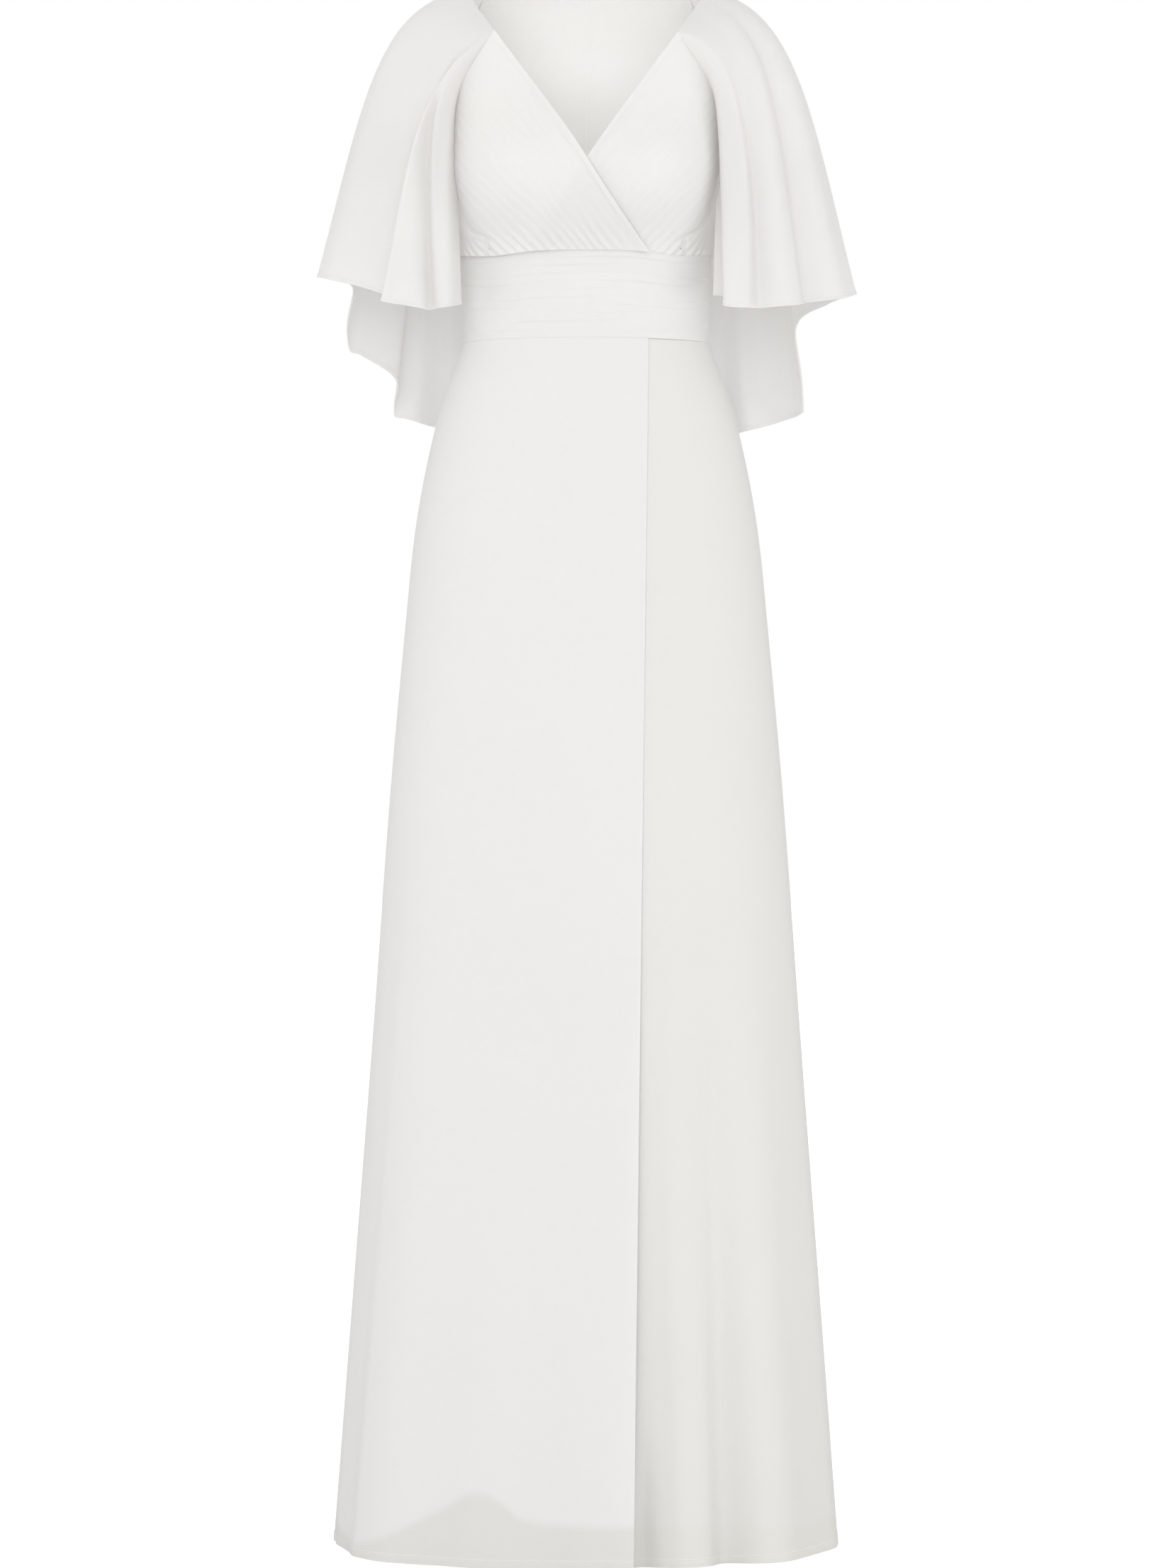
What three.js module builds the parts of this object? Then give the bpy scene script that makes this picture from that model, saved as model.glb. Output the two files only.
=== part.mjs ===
// Full-length surplice evening dress with raglan flutter sleeves.
// Millimetres, +Z up, the front faces -Y and the wearer's left side is +X.
// The origin lies midway between the two points where the neck edge crosses the shoulders.
// Every piece is a thin wall: an outer surface, a plain inner one and a rim that joins them.
import * as THREE from "three";

// ---- Driving sizes ----
const CLOTH = 1.6; // wall of the bodice, the waistband and the sleeves
const SKIRT_CLOTH = 1.5;
const LINING_CLOTH = 1.2;
const SEAM_GAP = 0.3; // room between two pieces at a seam
const WAIST_TOP_Z = -261; // seam under the bust
const WAIST_LOW_Z = -346.5; // seam at the waist, where the skirt starts
const HEM_Z = -1530;
const UNDERARM_Z = -134;
const BACK_NECK_Z = 9; // neck edge at the centre back
const WAIST_EDGE_Z = WAIST_TOP_Z + SEAM_GAP; // lower edge of the bodice
const SKIRT_TOP_Z = WAIST_LOW_Z - SEAM_GAP;
const SEAM_GAP_TURN = 0.0014; // half of that room at an upright seam, in radians about the axis

// ---- Colours ----
const IVORY = 0xf0eeec;
const IVORY_SHADE = 0xe6e4e0;

// ---- The figure: one row for each level section ----
// half: half the width; front and back: how deep the section is before and behind the side seams.
const SECTIONS = [
  { z: 14, half: 112, front: 30, back: 74 },
  { z: 0, half: 124, front: 38, back: 80 },
  { z: -45, half: 148, front: 64, back: 96 },
  { z: -80, half: 150, front: 80, back: 103 },
  { z: -118, half: 143, front: 97, back: 108 },
  { z: -150, half: 139, front: 106, back: 107 },
  { z: -182, half: 137, front: 110, back: 104 },
  { z: -215, half: 131, front: 105, back: 98 },
  { z: WAIST_TOP_Z, half: 124, front: 95, back: 91 },
  { z: -300, half: 122, front: 91, back: 88 },
  { z: WAIST_LOW_Z, half: 122.5, front: 93, back: 92 },
  { z: -390, half: 138, front: 101, back: 106 },
  { z: -426, half: 148.5, front: 106, back: 115 },
  { z: -480, half: 160.5, front: 112, back: 124 },
  { z: -538, half: 170, front: 117, back: 129 },
  { z: -622, half: 178.5, front: 123, back: 133 },
  { z: -790, half: 193.5, front: 134, back: 142 },
  { z: -1042, half: 211.5, front: 149, back: 157 },
  { z: -1294, half: 230, front: 166, back: 174 },
  { z: HEM_Z, half: 247, front: 184, back: 194 },
];
const SQUARENESS = 2.25; // exponent of each section: 2 is an ellipse, more is squarer

// Bust cups, which swell forward from the sections. fullness: how square their lower halves are.
const CUP = { x: 76, z: -186, swell: 23, spread: 57, above: 51, below: 52, fullness: 3 };

// ---- Bodice ----
const FRONT_NECK = { x: 89, z: -45 }; // where a front neck edge meets the raglan seam
const LAP_END_X = -60.7; // how far past the centre a front reaches at the waistband
const CUP_DIP = { turn: 52, width: 17, drop: 4 }; // where the seam under the bust sags, in degrees
const RAGLAN_FRONT = [
  { x: FRONT_NECK.x, z: FRONT_NECK.z },
  { x: 108, z: -75 },
  { x: 122, z: -100 },
  { x: 133, z: -119 },
];
const RAGLAN_BACK = [
  { x: 103, z: 3 },
  { x: 114, z: -32 },
  { x: 126, z: -74 },
  { x: 136, z: -119 },
];
const SEAM_PART = 0.7; // share of the armhole edge that is raglan seam
const ARMHOLE_SHARE = 0.52; // share of a front's pleat lines that start on the armhole edge
const PLEATS = 18; // fine pleats laid parallel to each front neck edge
const PLEAT_RISE = 0.9;
const PLEATED_SHARE = 0.8; // share of a front, from its neck edge, that the pleats cover
const LAP_ROOM = 2.2; // from the lower front to the inside of the upper one
const LAP_FADE = { from: -87, to: -63 }; // x over which the upper front settles onto the figure

// ---- Waistband ----
const TUCKS = 11; // laid across the band
const TUCK_RISE = 1.5;

// ---- Skirt ----
const LAP_EDGE = { top_x: 60.5, hem_x: 44.5 }; // free edge of the upper front
const UNDERLAP_EDGE = { top_x: -22, hem_x: -62 };
const UNDERLAP_DROP = SKIRT_CLOTH + 2 * SEAM_GAP; // lower front, inside the upper one
const UNDERLAP_DEEP = 9; // further inwards near the hem, where the slit falls open
const SLIT_HOLLOW = { turn: 17.5, width: 4, depth: 9, starts: -1390 }; // in the lower front
const LAP_CURL = { width: 6, lift: 5, starts: -760 }; // how the free edge curls out, in degrees and mm
// turn: degrees from the centre front at the hem; drift: degrees it has moved by the waist.
// depth: mm at the hem, troughs below zero; width: degrees; starts: z where it dies out.
const SKIRT_FOLDS = [
  { turn: -78, drift: 12, depth: -7, width: 9, starts: -560 },
  { turn: -58, drift: 4, depth: 6, width: 10, starts: -1000 },
  { turn: -42, drift: 0, depth: -5, width: 7, starts: -1080 },
  { turn: -27, drift: 2, depth: 5, width: 9, starts: -900 },
  { turn: -9, drift: 1, depth: -4, width: 8, starts: -1150 },
  { turn: 30, drift: 0, depth: 6, width: 7, starts: -1000 },
  { turn: 43, drift: 3, depth: -17, width: 5, starts: -860 },
  { turn: 55, drift: 4, depth: 11, width: 8, starts: -900 },
  { turn: 74, drift: -6, depth: -6, width: 9, starts: -640 },
  { turn: 103, drift: -4, depth: 7, width: 11, starts: -620 },
  { turn: 121, drift: -3, depth: -9, width: 9, starts: -700 },
  { turn: 142, drift: -6, depth: 8, width: 11, starts: -560 },
  { turn: 160, drift: -4, depth: -8, width: 9, starts: -780 },
  { turn: -162, drift: 5, depth: -10, width: 10, starts: -640 },
  { turn: -141, drift: 5, depth: 8, width: 11, starts: -600 },
  { turn: -119, drift: 3, depth: -8, width: 9, starts: -820 },
  { turn: -101, drift: 4, depth: 7, width: 10, starts: -600 },
];

// ---- Skirt lining ----
const LINING_ROOM = 0.6; // inside the lower front at the waist
const LINING_FALL = 17; // further inwards at its hem
// How low its hem hangs, by degrees from the centre front.
const LINING_HEM = [
  { turn: -180, z: -1480 },
  { turn: -130, z: -1487 },
  { turn: -98, z: -1506 },
  { turn: -72, z: -1519 },
  { turn: -59, z: -1510 },
  { turn: -49, z: -1490 },
  { turn: -41, z: -1473 },
  { turn: -35, z: -1461 },
  { turn: -30, z: -1460 },
  { turn: -25, z: -1468 },
  { turn: -20, z: -1482 },
  { turn: -10, z: -1488 },
  { turn: 2, z: -1490 },
  { turn: 40, z: -1490 },
  { turn: 70, z: -1500 },
  { turn: 105, z: -1492 },
  { turn: 140, z: -1478 },
  { turn: 180, z: -1480 },
];

// ---- Sleeves: ribs run from the seam to the hem, round the upper arm ----
const ARM = { x: 150, y: 5 }; // upright axis that the ribs' bearings turn about
const NECK_CROSSING = { x: 116, y: 4, z: 1.5 }; // where the neck edge crosses the shoulder
const FRONT_SEAM_SHARE = 0.36; // share of the ribs that start on the front raglan seam
const BACK_SEAM_SHARE = 0.66; // ribs from here on start on the back raglan seam
const CAP_REACH = 0.62; // how far a rib runs out level before it turns down
const CAP_DROP = { top: 0.03, seam: 0.17 }; // how soon it starts to fall
const FALL = { inward: 0.29, height: 0.57 };
const SLEEVE_EASE = 2.2; // how far a sleeve stands off the bodice, over its pleats
// bearing: degrees about the arm, 0 straight out and -90 to the front; reach: mm; z: the hem's height.
const HEM_LEFT = [
  { share: 0, bearing: -115, reach: 62, z: -302 },
  { share: 0.06, bearing: -104, reach: 65, z: -304 },
  { share: 0.12, bearing: -100, reach: 92, z: -315 },
  { share: 0.24, bearing: -82, reach: 96, z: -317 },
  { share: 0.38, bearing: -58, reach: 103, z: -314 },
  { share: 0.47, bearing: -26, reach: 112, z: -304 },
  { share: 0.53, bearing: -3, reach: 116, z: -297 },
  { share: 0.59, bearing: 11, reach: 90, z: -305 },
  { share: 0.64, bearing: 36, reach: 73, z: -325 },
  { share: 0.68, bearing: 47, reach: 97, z: -383 },
  { share: 0.7, bearing: 49, reach: 103, z: -404 },
  { share: 0.72, bearing: 52, reach: 107, z: -408 },
  { share: 0.8, bearing: 62, reach: 114, z: -413 },
  { share: 0.91, bearing: 86, reach: 108, z: -426 },
  { share: 1, bearing: 109, reach: 100, z: -431 },
];
const HEM_RIGHT = [
  { share: 0, bearing: -112, reach: 74, z: -312 },
  { share: 0.18, bearing: -88, reach: 92, z: -318 },
  { share: 0.27, bearing: -70, reach: 108, z: -314 },
  { share: 0.305, bearing: -64, reach: 113, z: -311 },
  { share: 0.335, bearing: -63, reach: 90, z: -305 },
  { share: 0.37, bearing: -54, reach: 88, z: -301 },
  { share: 0.44, bearing: -35, reach: 99, z: -291 },
  { share: 0.53, bearing: -4, reach: 116, z: -280 },
  { share: 0.58, bearing: 13, reach: 84, z: -288 },
  { share: 0.615, bearing: 31, reach: 104, z: -330 },
  { share: 0.63, bearing: 36, reach: 107, z: -347 },
  { share: 0.65, bearing: 42, reach: 102, z: -351 },
  { share: 0.7, bearing: 62, reach: 89, z: -374 },
  { share: 0.75, bearing: 66, reach: 107, z: -401 },
  { share: 0.77, bearing: 67, reach: 111, z: -410 },
  { share: 0.795, bearing: 71, reach: 110, z: -412 },
  { share: 0.89, bearing: 88, reach: 112, z: -420 },
  { share: 1, bearing: 109, reach: 100, z: -425 },
];
// A flute for each row: depth in mm at the hem, troughs below zero.
const FLUTES_LEFT = [
  { bearing: -78, depth: -12, width: 6 },
  { bearing: -66, depth: 5, width: 7 },
  { bearing: -45, depth: -16, width: 7 },
  { bearing: -28, depth: 4, width: 8 },
  { bearing: 84, depth: -9, width: 8 },
  { bearing: 100, depth: 7, width: 8 },
];
const FLUTES_RIGHT = [
  { bearing: -100, depth: 7, width: 8 },
  { bearing: -87, depth: -12, width: 5 },
  { bearing: -76, depth: 4, width: 6 },
  { bearing: -24, depth: 3, width: 8 },
  { bearing: 79, depth: -8, width: 8 },
  { bearing: 97, depth: 8, width: 9 },
];

// ---- How finely each piece is laid out ----
const PLAIN_COLUMNS = 4; // of a bodice front, beyond its pleats
const FRONT_ROWS = 10;
const BACK_COLUMNS = 8;
const BACK_ROWS = 9;
const BAND_FRONT_COLUMNS = 14;
const BAND_BACK_COLUMNS = 7;
const SKIRT_ROWS = 12;
const SKIRT_COLUMNS = { upper: 27, lower: 23, back: 15 };
const LINING_ROWS = 7;
const LINING_COLUMNS = 30;
const SLEEVE_ROWS = 11;
const SLEEVE_COLUMNS = 30;

const QUARTER = Math.PI / 2;
const HALF = Math.PI;

// ---- Small tools ----
const mix = (a, b, share) => a + (b - a) * share;
const clamp = (value) => Math.min(1, Math.max(0, value));
const radians = (angle) => (angle * Math.PI) / 180;
const degrees = (angle) => (angle * 180) / Math.PI;

function ease(from, to, value) {
  const share = clamp((value - from) / (to - from));
  return share * share * (3 - 2 * share);
}

function bell(distance, width) {
  return Math.exp(-((distance / width) ** 2));
}

// Reads one column of a table smoothly at any value of its key column.
function readTable(rows, key, column, value) {
  const falling = rows[rows.length - 1][key] < rows[0][key];
  const place = (row) => (falling ? -rows[row][key] : rows[row][key]);
  const target = falling ? -value : value;
  let low = 0;
  while (low < rows.length - 2 && target > place(low + 1)) {
    low += 1;
  }
  const slope = (row) => {
    const before = Math.max(0, row - 1);
    const after = Math.min(rows.length - 1, row + 1);
    return (rows[after][column] - rows[before][column]) / (place(after) - place(before));
  };
  const span = place(low + 1) - place(low);
  const t = clamp((target - place(low)) / span);
  const start = rows[low][column];
  const end = rows[low + 1][column];
  const startPull = slope(low) * span;
  const endPull = slope(low + 1) * span;
  return (
    (2 * t ** 3 - 3 * t ** 2 + 1) * start +
    (t ** 3 - 2 * t ** 2 + t) * startPull +
    (3 * t ** 2 - 2 * t ** 3) * end +
    (t ** 3 - t ** 2) * endPull
  );
}

// ---- The figure ----
function section(z) {
  return {
    half: readTable(SECTIONS, "z", "half", z),
    front: readTable(SECTIONS, "z", "front", z),
    back: readTable(SECTIONS, "z", "back", z),
  };
}

function cupSwell(x, z) {
  const sides = bell(x - CUP.x, CUP.spread) + bell(x + CUP.x, CUP.spread);
  const below = Math.exp(-((Math.max(0, CUP.z - z) / CUP.below) ** CUP.fullness));
  return CUP.swell * sides * (z > CUP.z ? bell(z - CUP.z, CUP.above) : below);
}

// turn is 0 at the centre front, a quarter turn at the wearer's left side and half a turn at the back.
function figurePoint(turn, z) {
  const { half, front, back } = section(z);
  const sideways = Math.sin(turn);
  const forward = Math.cos(turn);
  const depth = forward > 0 ? front : back;
  const sum =
    (Math.abs(sideways) / half) ** SQUARENESS + (Math.abs(forward) / depth) ** SQUARENESS;
  const reach = sum ** (-1 / SQUARENESS);
  const x = reach * sideways;
  const swell = cupSwell(x, z) * ease(0, 0.45, forward);
  return new THREE.Vector3(x, -reach * forward - swell, z);
}

// The turn at which the figure, at this height, is x to the side.
function turnAt(x, z, atBack = false) {
  const { half, front, back } = section(z);
  const share = Math.min(1, Math.abs(x) / half);
  const depth = (atBack ? back : front) * (1 - share ** SQUARENESS) ** (1 / SQUARENESS);
  const turn = Math.atan2(Math.abs(x), atBack ? -depth : depth);
  return x < 0 ? -turn : turn;
}

function figureNormal(turn, z) {
  const step = 0.004;
  const around = figurePoint(turn + step, z).sub(figurePoint(turn - step, z));
  const up = figurePoint(turn, z + 1).sub(figurePoint(turn, z - 1));
  return around.cross(up).normalize();
}

function movedOut(turn, z, out) {
  return figurePoint(turn, z).addScaledVector(figureNormal(turn, z), out);
}

// ---- Walls ----
// Two grids of points, outer and inner, become one closed wall. Corners that coincide are merged.
function wall(name, outer, inner, colour) {
  const corners = [];
  const indexOf = new Map();
  const register = (point) => {
    const mark = [point.x, point.y, point.z].map((value) => value.toFixed(3)).join(" ");
    if (!indexOf.has(mark)) {
      indexOf.set(mark, corners.length);
      corners.push(point);
    }
    return indexOf.get(mark);
  };
  const faces = [];
  const triangle = (a, b, c) => {
    if (a !== b && b !== c && c !== a) {
      faces.push(a, b, c);
    }
  };
  const quad = (a, b, c, d) => {
    triangle(a, b, c);
    triangle(a, c, d);
  };
  const rows = outer.length - 1;
  const columns = outer[0].length - 1;
  const out = outer.map((row) => row.map(register));
  const inn = inner.map((row) => row.map(register));
  for (let row = 0; row < rows; row += 1) {
    for (let column = 0; column < columns; column += 1) {
      const next = column + 1;
      quad(out[row][column], out[row][next], out[row + 1][next], out[row + 1][column]);
      quad(inn[row][column], inn[row + 1][column], inn[row + 1][next], inn[row][next]);
    }
    quad(out[row][0], out[row + 1][0], inn[row + 1][0], inn[row][0]);
    quad(out[row][columns], inn[row][columns], inn[row + 1][columns], out[row + 1][columns]);
  }
  for (let column = 0; column < columns; column += 1) {
    const next = column + 1;
    quad(out[0][column], inn[0][column], inn[0][next], out[0][next]);
    quad(out[rows][column], out[rows][next], inn[rows][next], inn[rows][column]);
  }
  let volume = 0;
  for (let face = 0; face < faces.length; face += 3) {
    const [a, b, c] = [corners[faces[face]], corners[faces[face + 1]], corners[faces[face + 2]]];
    volume += a.dot(b.clone().cross(c));
  }
  if (volume < 0) {
    faces.reverse();
  }
  const geometry = new THREE.BufferGeometry();
  const positions = corners.flatMap((point) => [point.x, point.y, point.z]);
  geometry.setAttribute("position", new THREE.Float32BufferAttribute(positions, 3));
  geometry.setIndex(faces);
  geometry.computeVertexNormals();
  const material = new THREE.MeshStandardMaterial({ color: colour, roughness: 0.85, metalness: 0 });
  const mesh = new THREE.Mesh(geometry, material);
  mesh.name = name;
  return mesh;
}

// A wall laid on the figure. place(row, column) gives { turn, z, out, relief }.
function panel(name, rows, columns, thickness, colour, place) {
  const outer = [];
  const inner = [];
  for (let row = 0; row <= rows; row += 1) {
    outer.push([]);
    inner.push([]);
    for (let column = 0; column <= columns; column += 1) {
      const { turn, z, out = 0, relief = 0 } = place(row, column);
      outer[row].push(movedOut(turn, z, out + relief));
      inner[row].push(movedOut(turn, z, out - thickness));
    }
  }
  return wall(name, outer, inner, colour);
}

// ---- Bodice ----
// How far the seam under the bust hangs below its level at the sides.
function bustDip(turn) {
  return CUP_DIP.drop * bell(Math.abs(turn) - radians(CUP_DIP.turn), radians(CUP_DIP.width));
}

// A place on a raglan seam: share 0 at the neck edge, 1 where the sleeve lets go.
function raglanPlace(rows, share, atBack) {
  const steps = rows.map((row, index) => ({ ...row, share: index / (rows.length - 1) }));
  const x = readTable(steps, "share", "x", share);
  const z = readTable(steps, "share", "z", share);
  return { turn: turnAt(x, z, atBack), z };
}

// The armhole edge from the neck edge, down the raglan seam and on to the underarm.
function armholePlace(rows, share, atBack) {
  if (share <= SEAM_PART) {
    return raglanPlace(rows, share / SEAM_PART, atBack);
  }
  const end = raglanPlace(rows, 1, atBack);
  const along = (share - SEAM_PART) / (1 - SEAM_PART);
  const z = mix(end.z, UNDERARM_Z, Math.sin(along * QUARTER));
  return { turn: mix(end.turn, QUARTER, along), z };
}

// A front in its own terms: across 0 at the neck edge and 1 at the side seam, down 0 to 1.
function frontPlace(across, down) {
  let start;
  if (across <= ARMHOLE_SHARE) {
    start = armholePlace(RAGLAN_FRONT, across / ARMHOLE_SHARE, false);
  } else {
    const along = (across - ARMHOLE_SHARE) / (1 - ARMHOLE_SHARE);
    start = { turn: QUARTER, z: mix(UNDERARM_Z, WAIST_EDGE_Z, along) };
  }
  const lapTurn = turnAt(LAP_END_X, WAIST_EDGE_Z);
  const endTurn = mix(lapTurn, QUARTER, across);
  const end = { turn: endTurn, z: WAIST_EDGE_Z - bustDip(endTurn) };
  const z = mix(start.z, end.z, down);
  const startX = figurePoint(start.turn, start.z).x;
  const endX = figurePoint(end.turn, end.z).x;
  const straight = turnAt(mix(startX, endX, down), z);
  const round = mix(start.turn, end.turn, down);
  return { turn: mix(straight, round, ease(0, 0.45, across)), z };
}

function bodiceFront(name, side, laps) {
  const pleatColumns = 2 * PLEATS;
  const columns = pleatColumns + PLAIN_COLUMNS;
  return panel(name, FRONT_ROWS, columns, CLOTH, IVORY, (row, column) => {
    const pleated = column <= pleatColumns;
    const across = pleated
      ? (PLEATED_SHARE * column) / pleatColumns
      : mix(PLEATED_SHARE, 1, (column - pleatColumns) / PLAIN_COLUMNS);
    const down = row / FRONT_ROWS;
    const place = frontPlace(across, down);
    const turn = side * Math.min(place.turn, QUARTER - SEAM_GAP_TURN);
    const x = side * figurePoint(turn, place.z).x;
    const lift = laps ? (LAP_ROOM + CLOTH) * ease(-LAP_FADE.from, -LAP_FADE.to, x) : 0;
    const crest = pleated && column % 2 === 0 ? PLEAT_RISE : 0;
    const relief = crest * ease(0, 0.12, down);
    return { turn, z: place.z, out: lift, relief };
  });
}

function bodiceBack(name, side) {
  const neckTurn = turnAt(RAGLAN_BACK[0].x, RAGLAN_BACK[0].z, true);
  const neckColumns = 4; // columns under the neck edge, the rest under the armhole
  return panel(name, BACK_ROWS, BACK_COLUMNS, CLOTH, IVORY, (row, column) => {
    const share = column / BACK_COLUMNS;
    let top;
    if (column <= neckColumns) {
      const along = column / neckColumns;
      const rise = mix(BACK_NECK_Z, RAGLAN_BACK[0].z, along * along);
      top = { turn: mix(HALF, neckTurn, along), z: rise };
    } else {
      const along = (column - neckColumns) / (BACK_COLUMNS - neckColumns);
      top = armholePlace(RAGLAN_BACK, along, true);
    }
    const up = row / BACK_ROWS;
    const bottomTurn = mix(HALF, QUARTER, share);
    const turn = mix(bottomTurn, top.turn, up);
    const kept = Math.min(HALF - SEAM_GAP_TURN, Math.max(turn, QUARTER + SEAM_GAP_TURN));
    return { turn: side * kept, z: mix(WAIST_EDGE_Z, top.z, up) };
  });
}

// ---- Waistband ----
function waistband(name, fromTurn, toTurn, columns) {
  const rows = 2 * TUCKS;
  return panel(name, rows, columns, CLOTH, IVORY, (row, column) => {
    const crest = row % 2 === 1 ? TUCK_RISE : 0;
    const turn = mix(fromTurn, toTurn, column / columns);
    return { turn, z: mix(WAIST_TOP_Z - bustDip(turn), WAIST_LOW_Z, row / rows), relief: crest };
  });
}

// ---- Skirt ----
// Rows lie closer together over the hips, where the outline bends most.
function skirtZ(row, rows, hem) {
  return mix(SKIRT_TOP_Z, hem, (row / rows) ** 1.45);
}

function foldOut(turn, z) {
  let out = 0;
  for (const fold of SKIRT_FOLDS) {
    const height = clamp((z - HEM_Z) / (SKIRT_TOP_Z - HEM_Z));
    const grown = clamp((fold.starts - z) / (fold.starts - HEM_Z)) ** 1.3;
    const centre = radians(fold.turn + fold.drift * height);
    const away = Math.atan2(Math.sin(turn - centre), Math.cos(turn - centre));
    out += fold.depth * grown * bell(away, radians(fold.width));
  }
  return out;
}

function edgeTurn(edge, z) {
  const height = clamp((z - HEM_Z) / (SKIRT_TOP_Z - HEM_Z));
  return turnAt(mix(edge.hem_x, edge.top_x, height), z);
}

function skirtPanel(name, columns, fromTurn, toTurn, drop) {
  return panel(name, SKIRT_ROWS, columns, SKIRT_CLOTH, IVORY, (row, column) => {
    const z = skirtZ(row, SKIRT_ROWS, HEM_Z);
    const turn = mix(fromTurn(z), toTurn(z), column / columns);
    return { turn, z, out: foldOut(turn, z) - drop(turn, z) };
  });
}

function skirtPanels() {
  const side = QUARTER - SEAM_GAP_TURN;
  const behindSide = QUARTER + SEAM_GAP_TURN;
  const back = HALF - SEAM_GAP_TURN;
  const { upper, lower, back: backColumns } = SKIRT_COLUMNS;
  const lapEdge = (z) => edgeTurn(LAP_EDGE, z);
  const underlapEdge = (z) => edgeTurn(UNDERLAP_EDGE, z);
  const level = () => 0;
  const underlap = (turn, z) => {
    const deep = UNDERLAP_DEEP * clamp((z + 900) / (HEM_Z + 900)) ** 1.5;
    const open = clamp((SLIT_HOLLOW.starts - z) / (SLIT_HOLLOW.starts - HEM_Z));
    const away = turn - radians(SLIT_HOLLOW.turn);
    const hollow = SLIT_HOLLOW.depth * open * bell(away, radians(SLIT_HOLLOW.width));
    return (UNDERLAP_DROP + deep) * (1 - ease(radians(50), radians(84), turn)) + hollow;
  };
  const curl = (turn, z) => {
    const grown = clamp((LAP_CURL.starts - z) / (LAP_CURL.starts - HEM_Z));
    return -LAP_CURL.lift * grown * bell(turn - lapEdge(z), radians(LAP_CURL.width));
  };
  return [
    skirtPanel("skirt_front_right", upper, () => -side, lapEdge, curl),
    skirtPanel("skirt_front_left", lower, underlapEdge, () => side, underlap),
    skirtPanel("skirt_back_right", backColumns, () => -back, () => -behindSide, level),
    skirtPanel("skirt_back_left", backColumns, () => behindSide, () => back, level),
  ];
}

// ---- Lining, whose hem shows through the sheer skirt ----
function liningHem(turn) {
  return readTable(LINING_HEM, "turn", "z", degrees(Math.atan2(Math.sin(turn), Math.cos(turn))));
}

function liningHalf(name, fromTurn, toTurn) {
  const waistIn = SKIRT_CLOTH + UNDERLAP_DROP + LINING_ROOM;
  return panel(name, LINING_ROWS, LINING_COLUMNS, LINING_CLOTH, IVORY_SHADE, (row, column) => {
    const turn = mix(fromTurn, toTurn, column / LINING_COLUMNS);
    const z = skirtZ(row, LINING_ROWS, liningHem(turn));
    const fallen = clamp((SKIRT_TOP_Z - z) / (SKIRT_TOP_Z - HEM_Z));
    return { turn, z, out: 0.5 * foldOut(turn, z) - waistIn - LINING_FALL * fallen ** 0.8 };
  });
}

// ---- Sleeves ----
const onSeam = (share) => share <= FRONT_SEAM_SHARE || share >= BACK_SEAM_SHARE;

function seamPoint(share, out = SEAM_GAP + CLOTH) {
  if (share <= FRONT_SEAM_SHARE) {
    const { turn, z } = raglanPlace(RAGLAN_FRONT, 1 - share / FRONT_SEAM_SHARE, false);
    return movedOut(turn, z, out);
  }
  if (share >= BACK_SEAM_SHARE) {
    const along = (share - BACK_SEAM_SHARE) / (1 - BACK_SEAM_SHARE);
    const { turn, z } = raglanPlace(RAGLAN_BACK, along, true);
    return movedOut(turn, z, out);
  }
  const front = seamPoint(FRONT_SEAM_SHARE, out);
  const back = seamPoint(BACK_SEAM_SHARE, out);
  const top = new THREE.Vector3(NECK_CROSSING.x, NECK_CROSSING.y, NECK_CROSSING.z);
  const along = (share - FRONT_SEAM_SHARE) / (BACK_SEAM_SHARE - FRONT_SEAM_SHARE);
  const pull = top.clone().multiplyScalar(2).addScaledVector(front, -0.5).addScaledVector(back, -0.5);
  return new THREE.QuadraticBezierCurve3(front, pull, back).getPoint(along);
}

// Moves a point level, away from the upright axis, until it has this room outside the figure.
function keepClear(point, room) {
  const turn = Math.atan2(point.x, -point.y);
  const limit = movedOut(turn, point.z, room);
  const wanted = Math.hypot(limit.x, limit.y);
  const reach = Math.hypot(point.x, point.y);
  if (reach < wanted) {
    point.x *= wanted / reach;
    point.y *= wanted / reach;
  }
}

function fluteOut(flutes, bearing, down) {
  let out = 0;
  for (const flute of flutes) {
    out += flute.depth * bell(bearing - flute.bearing, flute.width);
  }
  return out * down ** 1.3;
}

function sleevePoint(hem, flutes, share, down) {
  const seam = seamPoint(share);
  const bearing = readTable(hem, "share", "bearing", share);
  const reach = readTable(hem, "share", "reach", share);
  const foot = new THREE.Vector3(
    ARM.x + reach * Math.cos(radians(bearing)),
    ARM.y + reach * Math.sin(radians(bearing)),
    readTable(hem, "share", "z", share),
  );
  const run = foot.clone().sub(seam);
  const fall = -run.z;
  run.z = 0;
  const drop = mix(CAP_DROP.top, CAP_DROP.seam, Math.abs(2 * share - 1) ** 1.5);
  const cap = seam.clone().addScaledVector(run, CAP_REACH);
  cap.z -= drop * fall;
  const knee = foot.clone().addScaledVector(run, -FALL.inward);
  knee.z += FALL.height * fall;
  const point = new THREE.CubicBezierCurve3(seam, cap, knee, foot).getPoint(down);
  if (onSeam(share)) {
    const room = SEAM_GAP + CLOTH + SLEEVE_EASE * ease(0, 0.1, down);
    keepClear(point, room);
  }
  const out = fluteOut(flutes, bearing, down);
  point.x += out * Math.cos(radians(bearing));
  point.y += out * Math.sin(radians(bearing));
  return point;
}

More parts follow.
